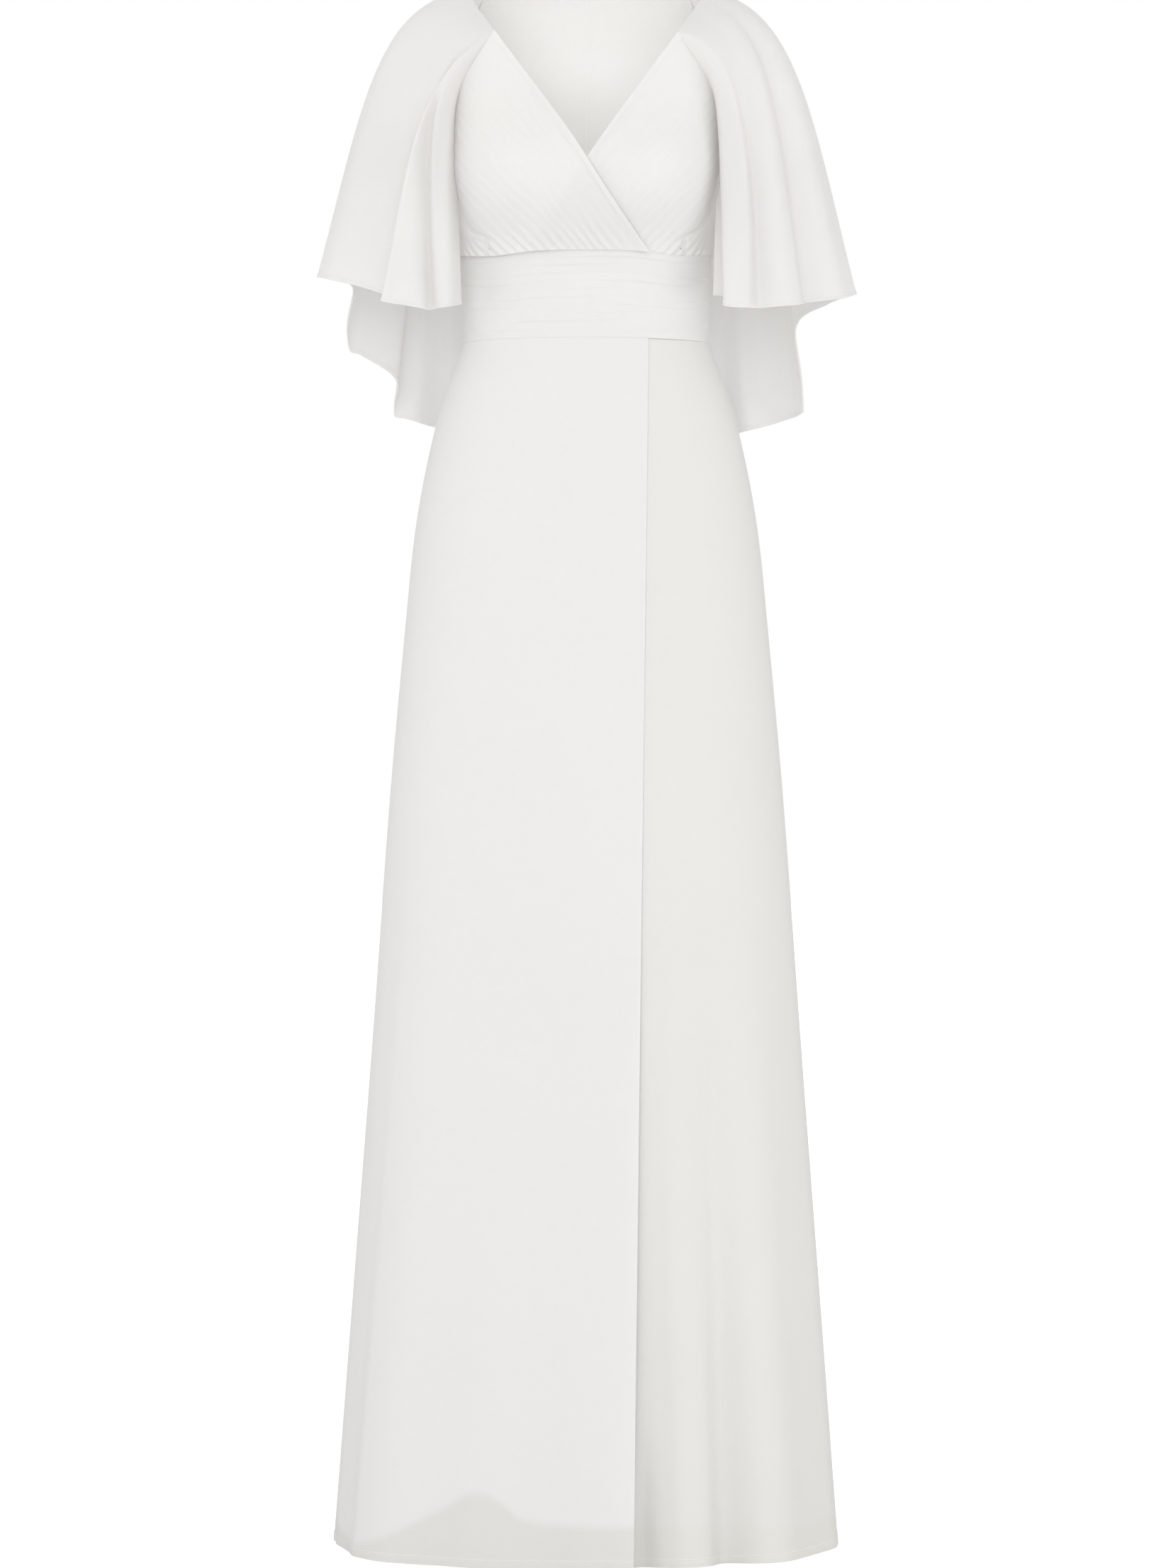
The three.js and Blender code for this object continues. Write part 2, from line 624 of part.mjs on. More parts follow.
function sleeve(name, side, hem, flutes) {
  const step = 0.002;
  const mirrored = (point) => new THREE.Vector3(side * point.x, point.y, point.z);
  const outer = [];
  const inner = [];
  for (let row = 0; row <= SLEEVE_ROWS; row += 1) {
    outer.push([]);
    inner.push([]);
    const down = row / SLEEVE_ROWS;
    for (let column = 0; column <= SLEEVE_COLUMNS; column += 1) {
      const share = column / SLEEVE_COLUMNS;
      const before = Math.max(0, share - step);
      const after = Math.min(1, share + step);
      const above = Math.max(0, down - step);
      const below = Math.min(1, down + step);
      const round = sleevePoint(hem, flutes, after, down).sub(sleevePoint(hem, flutes, before, down));
      const fall = sleevePoint(hem, flutes, share, below).sub(sleevePoint(hem, flutes, share, above));
      const normal = fall.cross(round).normalize();
      const point = sleevePoint(hem, flutes, share, down);
      const seated = row === 0 && onSeam(share);
      outer[row].push(mirrored(point));
      inner[row].push(mirrored(seated ? seamPoint(share, SEAM_GAP) : point.addScaledVector(normal, -CLOTH)));
    }
  }
  return wall(name, outer, inner, IVORY);
}

// ---- The dress ----
const FRONT_SPAN = [SEAM_GAP_TURN - QUARTER, QUARTER - SEAM_GAP_TURN];
const BACK_SPAN = [QUARTER + SEAM_GAP_TURN, 3 * QUARTER - SEAM_GAP_TURN];
const BACK_RIGHT_SPAN = [SEAM_GAP_TURN - HALF, -QUARTER - SEAM_GAP_TURN];
const BACK_LEFT_SPAN = [QUARTER + SEAM_GAP_TURN, HALF - SEAM_GAP_TURN];

const dress = new THREE.Group();
dress.add(bodiceFront("bodice_front_right", -1, true));
dress.add(bodiceFront("bodice_front_left", 1, false));
dress.add(bodiceBack("bodice_back_right", -1));
dress.add(bodiceBack("bodice_back_left", 1));
dress.add(waistband("waistband_front", ...FRONT_SPAN, BAND_FRONT_COLUMNS));
dress.add(waistband("waistband_back_right", ...BACK_RIGHT_SPAN, BAND_BACK_COLUMNS));
dress.add(waistband("waistband_back_left", ...BACK_LEFT_SPAN, BAND_BACK_COLUMNS));
dress.add(...skirtPanels());
dress.add(liningHalf("skirt_lining_front", ...FRONT_SPAN));
dress.add(liningHalf("skirt_lining_back", ...BACK_SPAN));
dress.add(sleeve("sleeve_right", -1, HEM_RIGHT, FLUTES_RIGHT));
dress.add(sleeve("sleeve_left", 1, HEM_LEFT, FLUTES_LEFT));

export default dress;
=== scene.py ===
"""Full-length ivory surplice evening dress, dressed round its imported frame.

The tables are in millimetres, as the solids' own sizes are; every mesh is made in metres.
+Z is up, the front faces -Y and the wearer's left side is +X.
"""
import math

import bmesh
import bpy
import numpy as np
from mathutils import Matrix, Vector


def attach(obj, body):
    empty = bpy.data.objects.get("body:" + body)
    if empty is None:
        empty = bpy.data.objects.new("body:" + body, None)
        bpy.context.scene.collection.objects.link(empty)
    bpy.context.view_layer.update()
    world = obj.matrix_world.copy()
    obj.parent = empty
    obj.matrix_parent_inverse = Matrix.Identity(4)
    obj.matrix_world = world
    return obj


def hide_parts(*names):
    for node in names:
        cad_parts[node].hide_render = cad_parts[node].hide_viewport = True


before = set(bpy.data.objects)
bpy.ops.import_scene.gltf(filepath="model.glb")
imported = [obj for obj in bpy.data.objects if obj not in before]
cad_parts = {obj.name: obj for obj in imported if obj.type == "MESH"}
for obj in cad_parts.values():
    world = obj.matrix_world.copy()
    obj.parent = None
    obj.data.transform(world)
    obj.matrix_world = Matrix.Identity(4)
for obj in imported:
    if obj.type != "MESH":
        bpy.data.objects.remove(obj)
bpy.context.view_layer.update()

MM = 0.001
QUARTER = math.pi / 2
HALF = math.pi

# ---------------------------------------------------------------- driving sizes (mm)
WAIST_TOP_Z = -261.0
WAIST_LOW_Z = -346.5
HEM_Z = -1530.0
UNDERARM_Z = -134.0
BACK_NECK_Z = 9.0
SEAM_TURN = 0.0005  # half the hairline between two pieces at an upright seam, in radians
SEAM_GAP = 0.1  # the hairline at a level seam
CHIFFON = 0.7  # thickness of the shown cloth
BODICE_CLOTH = 1.1  # chiffon on its backing
SKIRT_ROOM = 1.5  # room that one skirt layer keeps for the next
HEM_DEPTH = 8.0  # folded hem of the skirt
NARROW_HEM = 3.0  # rolled hem of the sleeves
STITCH = dict(pitch=3.6, length=2.7, thick=0.45, proud=0.2, flatness=0.7, sides=5)
# A stitch's rings: place along it, girth and height, in shares of its length and its thickness.
STITCH_RINGS = [(-0.5, 0.35, -0.3), (-0.28, 1.0, 0.1), (0.28, 1.0, 0.1), (0.5, 0.35, -0.3)]
PLAIN = (1.0, 1.0)  # cloth cut for each width and each length that shows
PLEATED = (1.3, 1.0)
GATHERED = (1.1, 1.0)
TUCKED = (1.05, 1.28)

SECTIONS = [
    dict(z=14, half=112, front=30, back=74),
    dict(z=0, half=124, front=38, back=80),
    dict(z=-45, half=148, front=64, back=96),
    dict(z=-80, half=150, front=80, back=103),
    dict(z=-118, half=143, front=97, back=108),
    dict(z=-150, half=139, front=106, back=107),
    dict(z=-182, half=137, front=110, back=104),
    dict(z=-215, half=131, front=105, back=98),
    dict(z=WAIST_TOP_Z, half=124, front=95, back=91),
    dict(z=-300, half=122, front=91, back=88),
    dict(z=WAIST_LOW_Z, half=122.5, front=93, back=92),
    dict(z=-390, half=138, front=101, back=106),
    dict(z=-426, half=148.5, front=106, back=115),
    dict(z=-480, half=160.5, front=112, back=124),
    dict(z=-538, half=170, front=117, back=129),
    dict(z=-622, half=178.5, front=123, back=133),
    dict(z=-790, half=193.5, front=134, back=142),
    dict(z=-1042, half=211.5, front=149, back=157),
    dict(z=-1294, half=230, front=166, back=174),
    dict(z=HEM_Z, half=247, front=184, back=194),
]
SQUARENESS = 2.25
CUP = dict(x=76, z=-186, swell=23, spread=57, above=51, below=52, fullness=3, ahead=0.45)
CUP_DIP = dict(turn=52, width=17, drop=4)  # where the seam under the bust sags

# ---------------------------------------------------------------- bodice
RAGLAN_FRONT = [dict(x=89, z=-45), dict(x=108, z=-75), dict(x=122, z=-100), dict(x=133, z=-119)]
RAGLAN_BACK = [dict(x=103, z=3), dict(x=114, z=-32), dict(x=126, z=-74), dict(x=136, z=-119)]
SEAM_PART = 0.7  # share of an armhole's line that is the raglan seam
ARMHOLE_SHARE = 0.52  # share of a front's upper line that is the armhole, the rest is its side
ROUNDED_BY = 0.45  # share of a front, from its neck edge, over which straight cloth turns round
LAP_END_X = -60.7
LAP_LIFT = 3.8
LAP_FADE = (87.0, 63.0)
FRONT_GRID = dict(rows=90, pleat_columns=9)
PLEATS = 22
PLEAT_RISE = 0.8
PLEAT_LIP = 0.16  # share of a pleat's width that rises to its lip
PLEAT_FALL = 0.8
# How far a pleat's line wanders, in pleats, with waves down and across a front.
PLEAT_WANDER = [dict(size=0.16, down=7.0, across=19.0), dict(size=0.1, down=17.0, across=-31.0)]
# Shares of a front: a pleat starts by the first, is full at the band and weak by the side.
PLEAT_STRENGTH = dict(start=0.05, least=0.45, full=(0.7, 1.0), side=(0.72, 0.95), side_loss=0.65)
# Gathers where a cup is drawn into the band.
CUP_GATHER = dict(rise=0.6, sway=0.8, waves=23, down=(0.8, 0.97), neck=(0.05, 0.2), side=(0.85, 1))
SEAM_PULL = dict(starts=0.985, loss=0.4)  # the band's seam flattens what it gathers
# Where each cup's side seam runs, mm to the side of the centre front.
CUP_SEAM = [
    dict(z=-247, x=96),
    dict(z=-239, x=110),
    dict(z=-225, x=119),
    dict(z=-204, x=127),
    dict(z=-176, x=131),
]
CUP_SEAM_GROOVE = dict(depth=1.9, width=3.2, across=(0.4, 0.6))
# The folded neck edge, in shares of a front and of the strip; rise in mm.
NECK_STRIP = dict(share=0.03, flat=0.92, sewn=0.7, rise=1.0)
BACK_GRID = dict(rows=70, columns=60, neck_columns=30)
BACK_STRIP = dict(edge=(0.955, 0.965), sewn=0.97, rise=0.6)
BACK_GATHER = dict(count=15, waves=19, up=(0, 0.16), rise=0.85, side_loss=0.5)

# ---------------------------------------------------------------- waistband
BAND_GRID = dict(tuck_rows=8, front_columns=180, back_columns=90)
TUCKS = 11
TUCK_RISE = 0.92
TUCK_STARTS = (0, 0.03)
# How far a tuck's line sways, in tucks, with waves round and down the band.
TUCK_SWAY = [
    dict(size=0.10, turn=3.1, down=0, ahead=0.6),
    dict(size=0.05, turn=7.7, down=0, ahead=0),
    dict(size=0.03, turn=15.1, down=5, ahead=0),
]
# A tuck swells slowly from above and turns under at its lower lip, in shares of its height.
TUCK_LIP = dict(swells=(0.0, 0.78), fullness=0.8, turns_under=(0.84, 0.98))
TUCK_BY_NUMBER = dict(middle=0.7, swing=0.3, number=2.4, ahead=1.0)
TUCK_ALONG = dict(middle=0.55, swing=0.45, turn=3.4, number=1.9)
BAND_PULLS = dict(rise=0.1, turn=23, sway=2.2, down=9)
# The band is lifted over the lap of the two fronts: x where it starts and ends.
BAND_LIFT = dict(rise=2.2, fades=0.3, starts=(-50.0, -15.0), ends=(35.0, 60.0))

# ---------------------------------------------------------------- skirt
LAP_EDGE = dict(top_x=60.5, hem_x=44.5)
UNDERLAP_EDGE = dict(top_x=-22, hem_x=-62)
UNDERLAP_DROP = 1.5
UNDERLAP_DEEP = 9.0
UNDERLAP_STARTS = -900
UNDERLAP_GROWTH = 1.5
UNDERLAP_SETTLES = (50, 84)  # degrees from the centre front
SLIT_HOLLOW = dict(turn=17.5, width=4, depth=9, starts=-1390)
# A hollow along the upper front's free edge.
EDGE_HOLLOW = dict(past=4.0, width=4.5, depth=2.5, starts=-900)
LAP_CURL = dict(width=6, lift=5, starts=-760)
LAP_FOLD = dict(width=0.8, drop=0.3)  # where the free edge is turned under
SKIRT_TOP_Z = WAIST_LOW_Z - SEAM_GAP
SKIRT_GRID = dict(even=66, fine=34, over_hem=1.5)
SKIRT_COLUMNS = dict(upper=210, lower=180, back=140)
HEM_RISE = 0.45  # of a folded or rolled hem
HEM_BLUR = 0.4
HEM_ROWS = (0.4, 0.0, -0.5)  # mm from a folded hem's upper edge, the last one sewn
HEM_LOW_ROWS = (1.2, 0.3, 0.0)  # mm from its lower edge
HEM_SEWN = -2 - len(HEM_LOW_ROWS)  # the sewn row, counted from the last
FOLD_GROWTH = 1.3
# turn: degrees from the centre front at the hem; drift: degrees it has moved by the waist.
# depth: mm at the hem, troughs below zero; width: degrees; starts: z where it dies out.
SKIRT_FOLDS = [
    dict(turn=-78, drift=12, depth=-7, width=9, starts=-560),
    dict(turn=-58, drift=4, depth=6, width=10, starts=-1000),
    dict(turn=-42, drift=0, depth=-5, width=7, starts=-1080),
    dict(turn=-27, drift=2, depth=5, width=9, starts=-900),
    dict(turn=-9, drift=1, depth=-4, width=8, starts=-1150),
    dict(turn=30, drift=0, depth=6, width=7, starts=-1000),
    dict(turn=43, drift=3, depth=-17, width=5, starts=-860),
    dict(turn=55, drift=4, depth=11, width=8, starts=-900),
    dict(turn=74, drift=-6, depth=-6, width=9, starts=-640),
    dict(turn=103, drift=-4, depth=7, width=11, starts=-620),
    dict(turn=121, drift=-3, depth=-9, width=9, starts=-700),
    dict(turn=142, drift=-6, depth=8, width=11, starts=-560),
    dict(turn=160, drift=-4, depth=-8, width=9, starts=-780),
    dict(turn=-162, drift=5, depth=-10, width=10, starts=-640),
    dict(turn=-141, drift=5, depth=8, width=11, starts=-600),
    dict(turn=-119, drift=3, depth=-8, width=9, starts=-820),
    dict(turn=-101, drift=4, depth=7, width=10, starts=-600),
]
# Finer creases of the same kind, for the eye alone.
SKIRT_CREASES = [
    dict(turn=-84, drift=6, depth=-1.2, width=4.0, starts=-480),
    dict(turn=-69, drift=4, depth=2.4, width=3.6, starts=-640),
    dict(turn=-51, drift=7, depth=-1.2, width=3.2, starts=-820),
    dict(turn=-36, drift=3, depth=1.0, width=3.6, starts=-1010),
    dict(turn=-31, drift=2, depth=-0.7, width=2.6, starts=-1180),
    dict(turn=-20, drift=2, depth=-0.8, width=3.4, starts=-700),
    dict(turn=-14, drift=0, depth=0.6, width=3.0, starts=-1080),
    dict(turn=-3, drift=1, depth=0.6, width=3.2, starts=-880),
    dict(turn=5, drift=2, depth=-0.6, width=3.0, starts=-1240),
    dict(turn=24, drift=3, depth=-1.4, width=2.6, starts=-900),
    dict(turn=41, drift=3, depth=-3.0, width=3.4, starts=-1050),
    dict(turn=66, drift=-2, depth=-0.9, width=4.0, starts=-620),
    dict(turn=82, drift=-5, depth=1.2, width=4.0, starts=-500),
    dict(turn=95, drift=-3, depth=-2.6, width=3.0, starts=-560),
    dict(turn=112, drift=-4, depth=2.4, width=3.2, starts=-760),
    dict(turn=130, drift=-2, depth=-2.8, width=3.0, starts=-900),
    dict(turn=150, drift=-4, depth=-2.2, width=2.8, starts=-640),
    dict(turn=168, drift=-3, depth=2.6, width=3.4, starts=-700),
    dict(turn=-174, drift=3, depth=-2.4, width=3.0, starts=-860),
    dict(turn=-152, drift=4, depth=2.4, width=3.0, starts=-580),
    dict(turn=-131, drift=3, depth=-2.6, width=3.2, starts=-700),
    dict(turn=-110, drift=4, depth=2.4, width=3.0, starts=-820),
    dict(turn=-93, drift=4, depth=-2.2, width=3.0, starts=-540),
]
LINING_CLOTH = 0.5
LINING_ROOM = 0.6
LINING_FALL = 17.0
LINING_FALL_GROWTH = 0.8
LINING_GRID = dict(rows=40, columns=120)
LINING_FOLDS = 0.5  # share of the skirt's folds that the lining takes
LINING_BAND = dict(height=12.0, blur=0.5, rise=0.3)
LINING_SHOWS_Z = -1436.0  # above this the lining backs the whole skirt
UNLINED_BLUR = 6.0
# How low the lining's hem hangs, by degrees from the centre front.
LINING_HEM = [
    dict(turn=-180, z=-1480),
    dict(turn=-130, z=-1487),
    dict(turn=-98, z=-1506),
    dict(turn=-72, z=-1519),
    dict(turn=-59, z=-1510),
    dict(turn=-49, z=-1490),
    dict(turn=-41, z=-1473),
    dict(turn=-35, z=-1461),
    dict(turn=-30, z=-1460),
    dict(turn=-25, z=-1468),
    dict(turn=-20, z=-1482),
    dict(turn=-10, z=-1488),
    dict(turn=2, z=-1490),
    dict(turn=40, z=-1490),
    dict(turn=70, z=-1500),
    dict(turn=105, z=-1492),
    dict(turn=140, z=-1478),
    dict(turn=180, z=-1480),
]

# ---------------------------------------------------------------- sleeves
ARM = (150.0, 5.0)
NECK_CROSSING = (116.0, 4.0, 1.5)
FRONT_SEAM_SHARE = 0.36
BACK_SEAM_SHARE = 0.66
CAP_REACH = 0.62
CAP_DROP = (0.03, 0.17)
CAP_FULLNESS = 1.5
FALL_INWARD = 0.29
FALL_HEIGHT = 0.57
SLEEVE_STAND = 1.0
SLEEVE_EASE = 0.4
SLEEVE_SEATED = 0.08  # share of the fall by which the sleeve has its ease
SLEEVE_GRID = dict(rows=96, columns=220)
SLEEVE_LENGTH = 330.0
SLEEVE_HEM_BLUR = 0.8
SLEEVE_HEM_ROWS = (0.0, -0.6)  # mm from the rolled hem's upper edge
SLEEVE_LOW_ROWS = (1.6, 0.8, 0.2, 0.0)  # mm from its lower edge, the first one sewn
SLEEVE_SEWN = -len(SLEEVE_LOW_ROWS)
FLUTE_GROWTH = 1.05
HEM_LEFT = [
    dict(share=0, bearing=-115, reach=62, z=-302),
    dict(share=0.06, bearing=-104, reach=65, z=-304),
    dict(share=0.12, bearing=-100, reach=92, z=-315),
    dict(share=0.24, bearing=-82, reach=96, z=-317),
    dict(share=0.38, bearing=-58, reach=103, z=-314),
    dict(share=0.47, bearing=-26, reach=112, z=-304),
    dict(share=0.53, bearing=-3, reach=116, z=-297),
    dict(share=0.59, bearing=11, reach=90, z=-305),
    dict(share=0.64, bearing=36, reach=73, z=-325),
    dict(share=0.68, bearing=47, reach=97, z=-383),
    dict(share=0.7, bearing=49, reach=103, z=-404),
    dict(share=0.72, bearing=52, reach=107, z=-408),
    dict(share=0.8, bearing=62, reach=114, z=-413),
    dict(share=0.91, bearing=86, reach=108, z=-426),
    dict(share=1, bearing=109, reach=100, z=-431),
]
HEM_RIGHT = [
    dict(share=0, bearing=-112, reach=74, z=-312),
    dict(share=0.18, bearing=-88, reach=92, z=-318),
    dict(share=0.27, bearing=-70, reach=108, z=-314),
    dict(share=0.305, bearing=-64, reach=113, z=-311),
    dict(share=0.335, bearing=-63, reach=90, z=-305),
    dict(share=0.37, bearing=-54, reach=88, z=-301),
    dict(share=0.44, bearing=-35, reach=99, z=-291),
    dict(share=0.53, bearing=-4, reach=116, z=-280),
    dict(share=0.58, bearing=13, reach=84, z=-288),
    dict(share=0.615, bearing=31, reach=104, z=-330),
    dict(share=0.63, bearing=36, reach=107, z=-347),
    dict(share=0.65, bearing=42, reach=102, z=-351),
    dict(share=0.7, bearing=62, reach=89, z=-374),
    dict(share=0.75, bearing=66, reach=107, z=-401),
    dict(share=0.77, bearing=67, reach=111, z=-410),
    dict(share=0.795, bearing=71, reach=110, z=-412),
    dict(share=0.89, bearing=88, reach=112, z=-420),
    dict(share=1, bearing=109, reach=100, z=-425),
]
# drift: degrees that a flute moves from the hem to the seam, so that it falls straight.
FLUTES_LEFT = [
    dict(bearing=-78, drift=30, depth=-12, width=6),
    dict(bearing=-66, drift=28, depth=5, width=7),
    dict(bearing=-45, drift=16, depth=-16, width=7),
    dict(bearing=-28, drift=10, depth=4, width=8),
    dict(bearing=84, drift=0, depth=-9, width=8),
    dict(bearing=100, drift=0, depth=7, width=8),
]
FLUTES_RIGHT = [
    dict(bearing=-100, drift=8, depth=7, width=8),
    dict(bearing=-88, drift=34, depth=-14, width=4),
    dict(bearing=-76, drift=32, depth=4, width=6),
    dict(bearing=-24, drift=8, depth=3, width=8),
    dict(bearing=79, drift=0, depth=-8, width=8),
    dict(bearing=97, drift=0, depth=8, width=9),
]

# ---------------------------------------------------------------- small tools


def mix(a, b, share):
    return a + (b - a) * share


def ease(start, end, value):
    share = np.clip((value - start) / (end - start), 0, 1)
    return share * share * (3 - 2 * share)


def bell(distance, width):
    return np.exp(-((distance / width) ** 2))


def turned(angle):
    """An angle brought back to between minus and plus half a turn."""
    return np.arctan2(np.sin(angle), np.cos(angle))


def read_table(rows, key, column, value):
    """Reads one column of a table smoothly at any values of its key column."""
    keys = np.array([row[key] for row in rows], float)
    data = np.array([row[column] for row in rows], float)
    value = np.asarray(value, float)
    if keys[-1] < keys[0]:
        keys, value = -keys, -value
    slopes = np.empty_like(data)
    slopes[1:-1] = (data[2:] - data[:-2]) / (keys[2:] - keys[:-2])
    slopes[0] = (data[1] - data[0]) / (keys[1] - keys[0])
    slopes[-1] = (data[-1] - data[-2]) / (keys[-1] - keys[-2])
    low = np.clip(np.searchsorted(keys, value) - 1, 0, len(keys) - 2)
    span = keys[low + 1] - keys[low]
    t = np.clip((value - keys[low]) / span, 0, 1)
    return (
        (2 * t**3 - 3 * t**2 + 1) * data[low]
        + (t**3 - 2 * t**2 + t) * slopes[low] * span
        + (3 * t**2 - 2 * t**3) * data[low + 1]
        + (t**3 - t**2) * slopes[low + 1] * span
    )


def unit(vectors):
    return vectors / np.maximum(np.linalg.norm(vectors, axis=-1, keepdims=True), 1e-9)


# ---------------------------------------------------------------- the figure


def section(z):
    return [read_table(SECTIONS, "z", name, z) for name in ("half", "front", "back")]


def cup_swell(x, z):
    sides = bell(x - CUP["x"], CUP["spread"]) + bell(x + CUP["x"], CUP["spread"])
    below = np.exp(-((np.maximum(0, CUP["z"] - z) / CUP["below"]) ** CUP["fullness"]))
    return CUP["swell"] * sides * np.where(z > CUP["z"], bell(z - CUP["z"], CUP["above"]), below)


def bust_dip(turn):
    """How far the seam under the bust hangs below its level at the sides."""
    away = np.abs(turn) - math.radians(CUP_DIP["turn"])
    return CUP_DIP["drop"] * bell(away, math.radians(CUP_DIP["width"]))


def figure(turn, z):
    """A point of the figure: turn 0 at the centre front, a quarter at the wearer's left side."""
    turn, z = np.broadcast_arrays(np.asarray(turn, float), np.asarray(z, float))
    half, front, back = section(z)
    sideways, forward = np.sin(turn), np.cos(turn)
    depth = np.where(forward > 0, front, back)
    total = (np.abs(sideways) / half) ** SQUARENESS + (np.abs(forward) / depth) ** SQUARENESS
    reach = total ** (-1 / SQUARENESS)
    x = reach * sideways
    y = -reach * forward - cup_swell(x, z) * ease(0, CUP["ahead"], forward)
    return np.stack([x, y, z], axis=-1)


def turn_at(x, z, at_back=False):
    half, front, back = section(z)
    share = np.minimum(1, np.abs(x) / half)
    depth = (back if at_back else front) * (1 - share**SQUARENESS) ** (1 / SQUARENESS)
    turn = np.arctan2(np.abs(x), -depth if at_back else depth)
    return np.where(x < 0, -turn, turn)


def moved_out(turn, z, out):
    step = 0.004
    around = figure(turn + step, z) - figure(turn - step, z)
    up = figure(turn, z + 1) - figure(turn, z - 1)
    normal = unit(np.cross(around, up))
    return figure(turn, z) + normal * np.asarray(out, float)[..., None]


# ---------------------------------------------------------------- meshes


def shell(name, outer, inner, material, unbacked=None):
    """A thin closed shell between two grids of points in mm.

    unbacked: how far each point lacks a lining, which the material darkens with painted shade.
    """
    rows, columns = outer.shape[:2]
    count = rows * columns
    points = np.concatenate([outer.reshape(-1, 3), inner.reshape(-1, 3)]) * MM
    index = np.arange(count).reshape(rows, columns)
    a, b, c, d = index[:-1, :-1], index[:-1, 1:], index[1:, 1:], index[1:, :-1]
    faces = [np.stack([a, b, c, d], -1).reshape(-1, 4)]
    faces.append(np.stack([a, d, c, b], -1).reshape(-1, 4) + count)
    rim = np.concatenate([index[0, :], index[1:, -1], index[-1, -2::-1], index[-2:0:-1, 0]])
    ahead = np.roll(rim, -1)
    faces.append(np.stack([rim, rim + count, ahead + count, ahead], -1))
    faces = np.concatenate(faces)
    mesh = bpy.data.meshes.new(name)
    mesh.from_pydata(points.tolist(), [], faces.tolist())
    if unbacked is not None:
        layer = mesh.attributes.new("unbacked", "FLOAT", "POINT")
        layer.data.foreach_set("value", np.tile(unbacked.reshape(-1), 2).astype(np.float32))
    return finish_mesh(name, mesh, material)


def finish_mesh(name, mesh, material):
    work = bmesh.new()
    work.from_mesh(mesh)
    bmesh.ops.remove_doubles(work, verts=work.verts, dist=1e-6)
    bmesh.ops.dissolve_degenerate(work, edges=work.edges, dist=1e-7)
    bmesh.ops.recalc_face_normals(work, faces=work.faces)
    work.to_mesh(mesh)
    work.free()
    mesh.shade_smooth()
    mesh.set_sharp_from_angle(angle=math.radians(48))
    piece = bpy.data.objects.new(name, mesh)
    bpy.context.scene.collection.objects.link(piece)
    mesh.materials.append(material)
    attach(piece, "root")
    return piece


def cut_sheet(outer, inner, takes=PLAIN):
    """Works out the width, length and area of the flat cut of what shows of a shell, and keeps none
    of them.

    It comes from the shell's own arcs and from takes, the cloth that its pleats take up.
    """
    middle = (outer + inner) / 2
    over, down = np.diff(middle, axis=1), np.diff(middle, axis=0)
    width = np.linalg.norm(over, axis=-1).sum(1).max() * takes[0]
    length = np.linalg.norm(down, axis=-1).sum(0).max() * takes[1]
    area = np.linalg.norm(np.cross(over[:-1], down[:, :-1]), axis=-1).sum() * takes[0] * takes[1]
    area = min(area, width * length) * MM * MM


def stitch_line(name, points, outward):
    """A row of small tapered beads of thread along a route in mm, sunk a little into the cloth."""
    pitch, length, thick = STITCH["pitch"], STITCH["length"], STITCH["thick"]
    steps = np.linalg.norm(np.diff(points, axis=0), axis=1)
    run = np.concatenate([[0], np.cumsum(steps)])
    count = int(run[-1] // pitch)
    middles = (np.arange(count) + 0.5) * pitch + (run[-1] - count * pitch) / 2
    place = np.stack([np.interp(middles, run, points[:, axis]) for axis in range(3)], -1)
    ahead = np.stack([np.interp(middles + 0.5, run, points[:, axis]) for axis in range(3)], -1)
    along = unit(ahead - place)
    up = np.stack([np.interp(middles, run, outward[:, axis]) for axis in range(3)], -1)
    up = unit(up - along * np.sum(up * along, axis=-1, keepdims=True))
    aside = np.cross(along, up)
    corners, sides, last = [], STITCH["sides"], len(STITCH_RINGS) - 1
    for reach, size, height in STITCH_RINGS:
        centre = place + along * reach * length + up * (height * thick)
        for corner in range(sides):
            angle = 2 * math.pi * corner / sides
            out = aside * math.cos(angle) + up * STITCH["flatness"] * math.sin(angle)
            corners.append(centre + out * thick / 2 * size)
    points = np.stack(corners, 1).reshape(-1, 3) * MM
    faces = []
    for bead in range(count):
        first = bead * len(STITCH_RINGS) * sides
        for ring in range(last):
            for corner in range(sides):
                here, after = corner, (corner + 1) % sides
                low, high = first + ring * sides, first + (ring + 1) * sides
                faces.append((low + here, low + after, high + after, high + here))
        faces.append(tuple(first + corner for corner in reversed(range(sides))))
        faces.append(tuple(first + last * sides + corner for corner in range(sides)))
    mesh = bpy.data.meshes.new(name)
    mesh.from_pydata(points.tolist(), [], faces)
    piece = finish_mesh(name, mesh, THREAD)
    return piece


# ---------------------------------------------------------------- materials
WHITE = (1, 1, 1, 1)
FLOOR_GREY = (0.3, 0.3, 0.3, 1)
FLOOR_LIT = (0.7, 0.7, 0.7, 1)
IVORY = (0.905, 0.897, 0.891)
IVORY_DEEP = (0.887, 0.88, 0.864)
SKIRT_IVORY = (0.85, 0.843, 0.838)
SKIRT_DEEP = (0.833, 0.827, 0.812)
# A darker copy of the skirt's chiffon for the lower front that lies under the lap: painted shade.
SHADED_UNDER_IVORY = (0.83, 0.823, 0.806)
SHADED_UNDER_DEEP = (0.81, 0.805, 0.783)
SHEER_IVORY = (0.94, 0.934, 0.925)  # of the sleeves, which nothing backs
UNLINED_SHADE = (0.925, 0.92, 0.902)  # painted shade: how much the sheer skirt is darkened below its lining, for its shaded inside seen through it
# Painted shade of the same kind for the lower front below its lining.
UNLINED_UNDER_SHADE = (0.99, 0.985, 0.967)
LINING_WHITE = (0.92, 0.914, 0.902)
THREAD_SHADE = (0.74, 0.73, 0.70)
THREAD_SCALE = 0.5  # of a weave's ribs, beside its grain
THREAD_SHARE = 0.35  # of the ribs in the bumps
GRAIN_HEIGHT = 0.0004  # metres


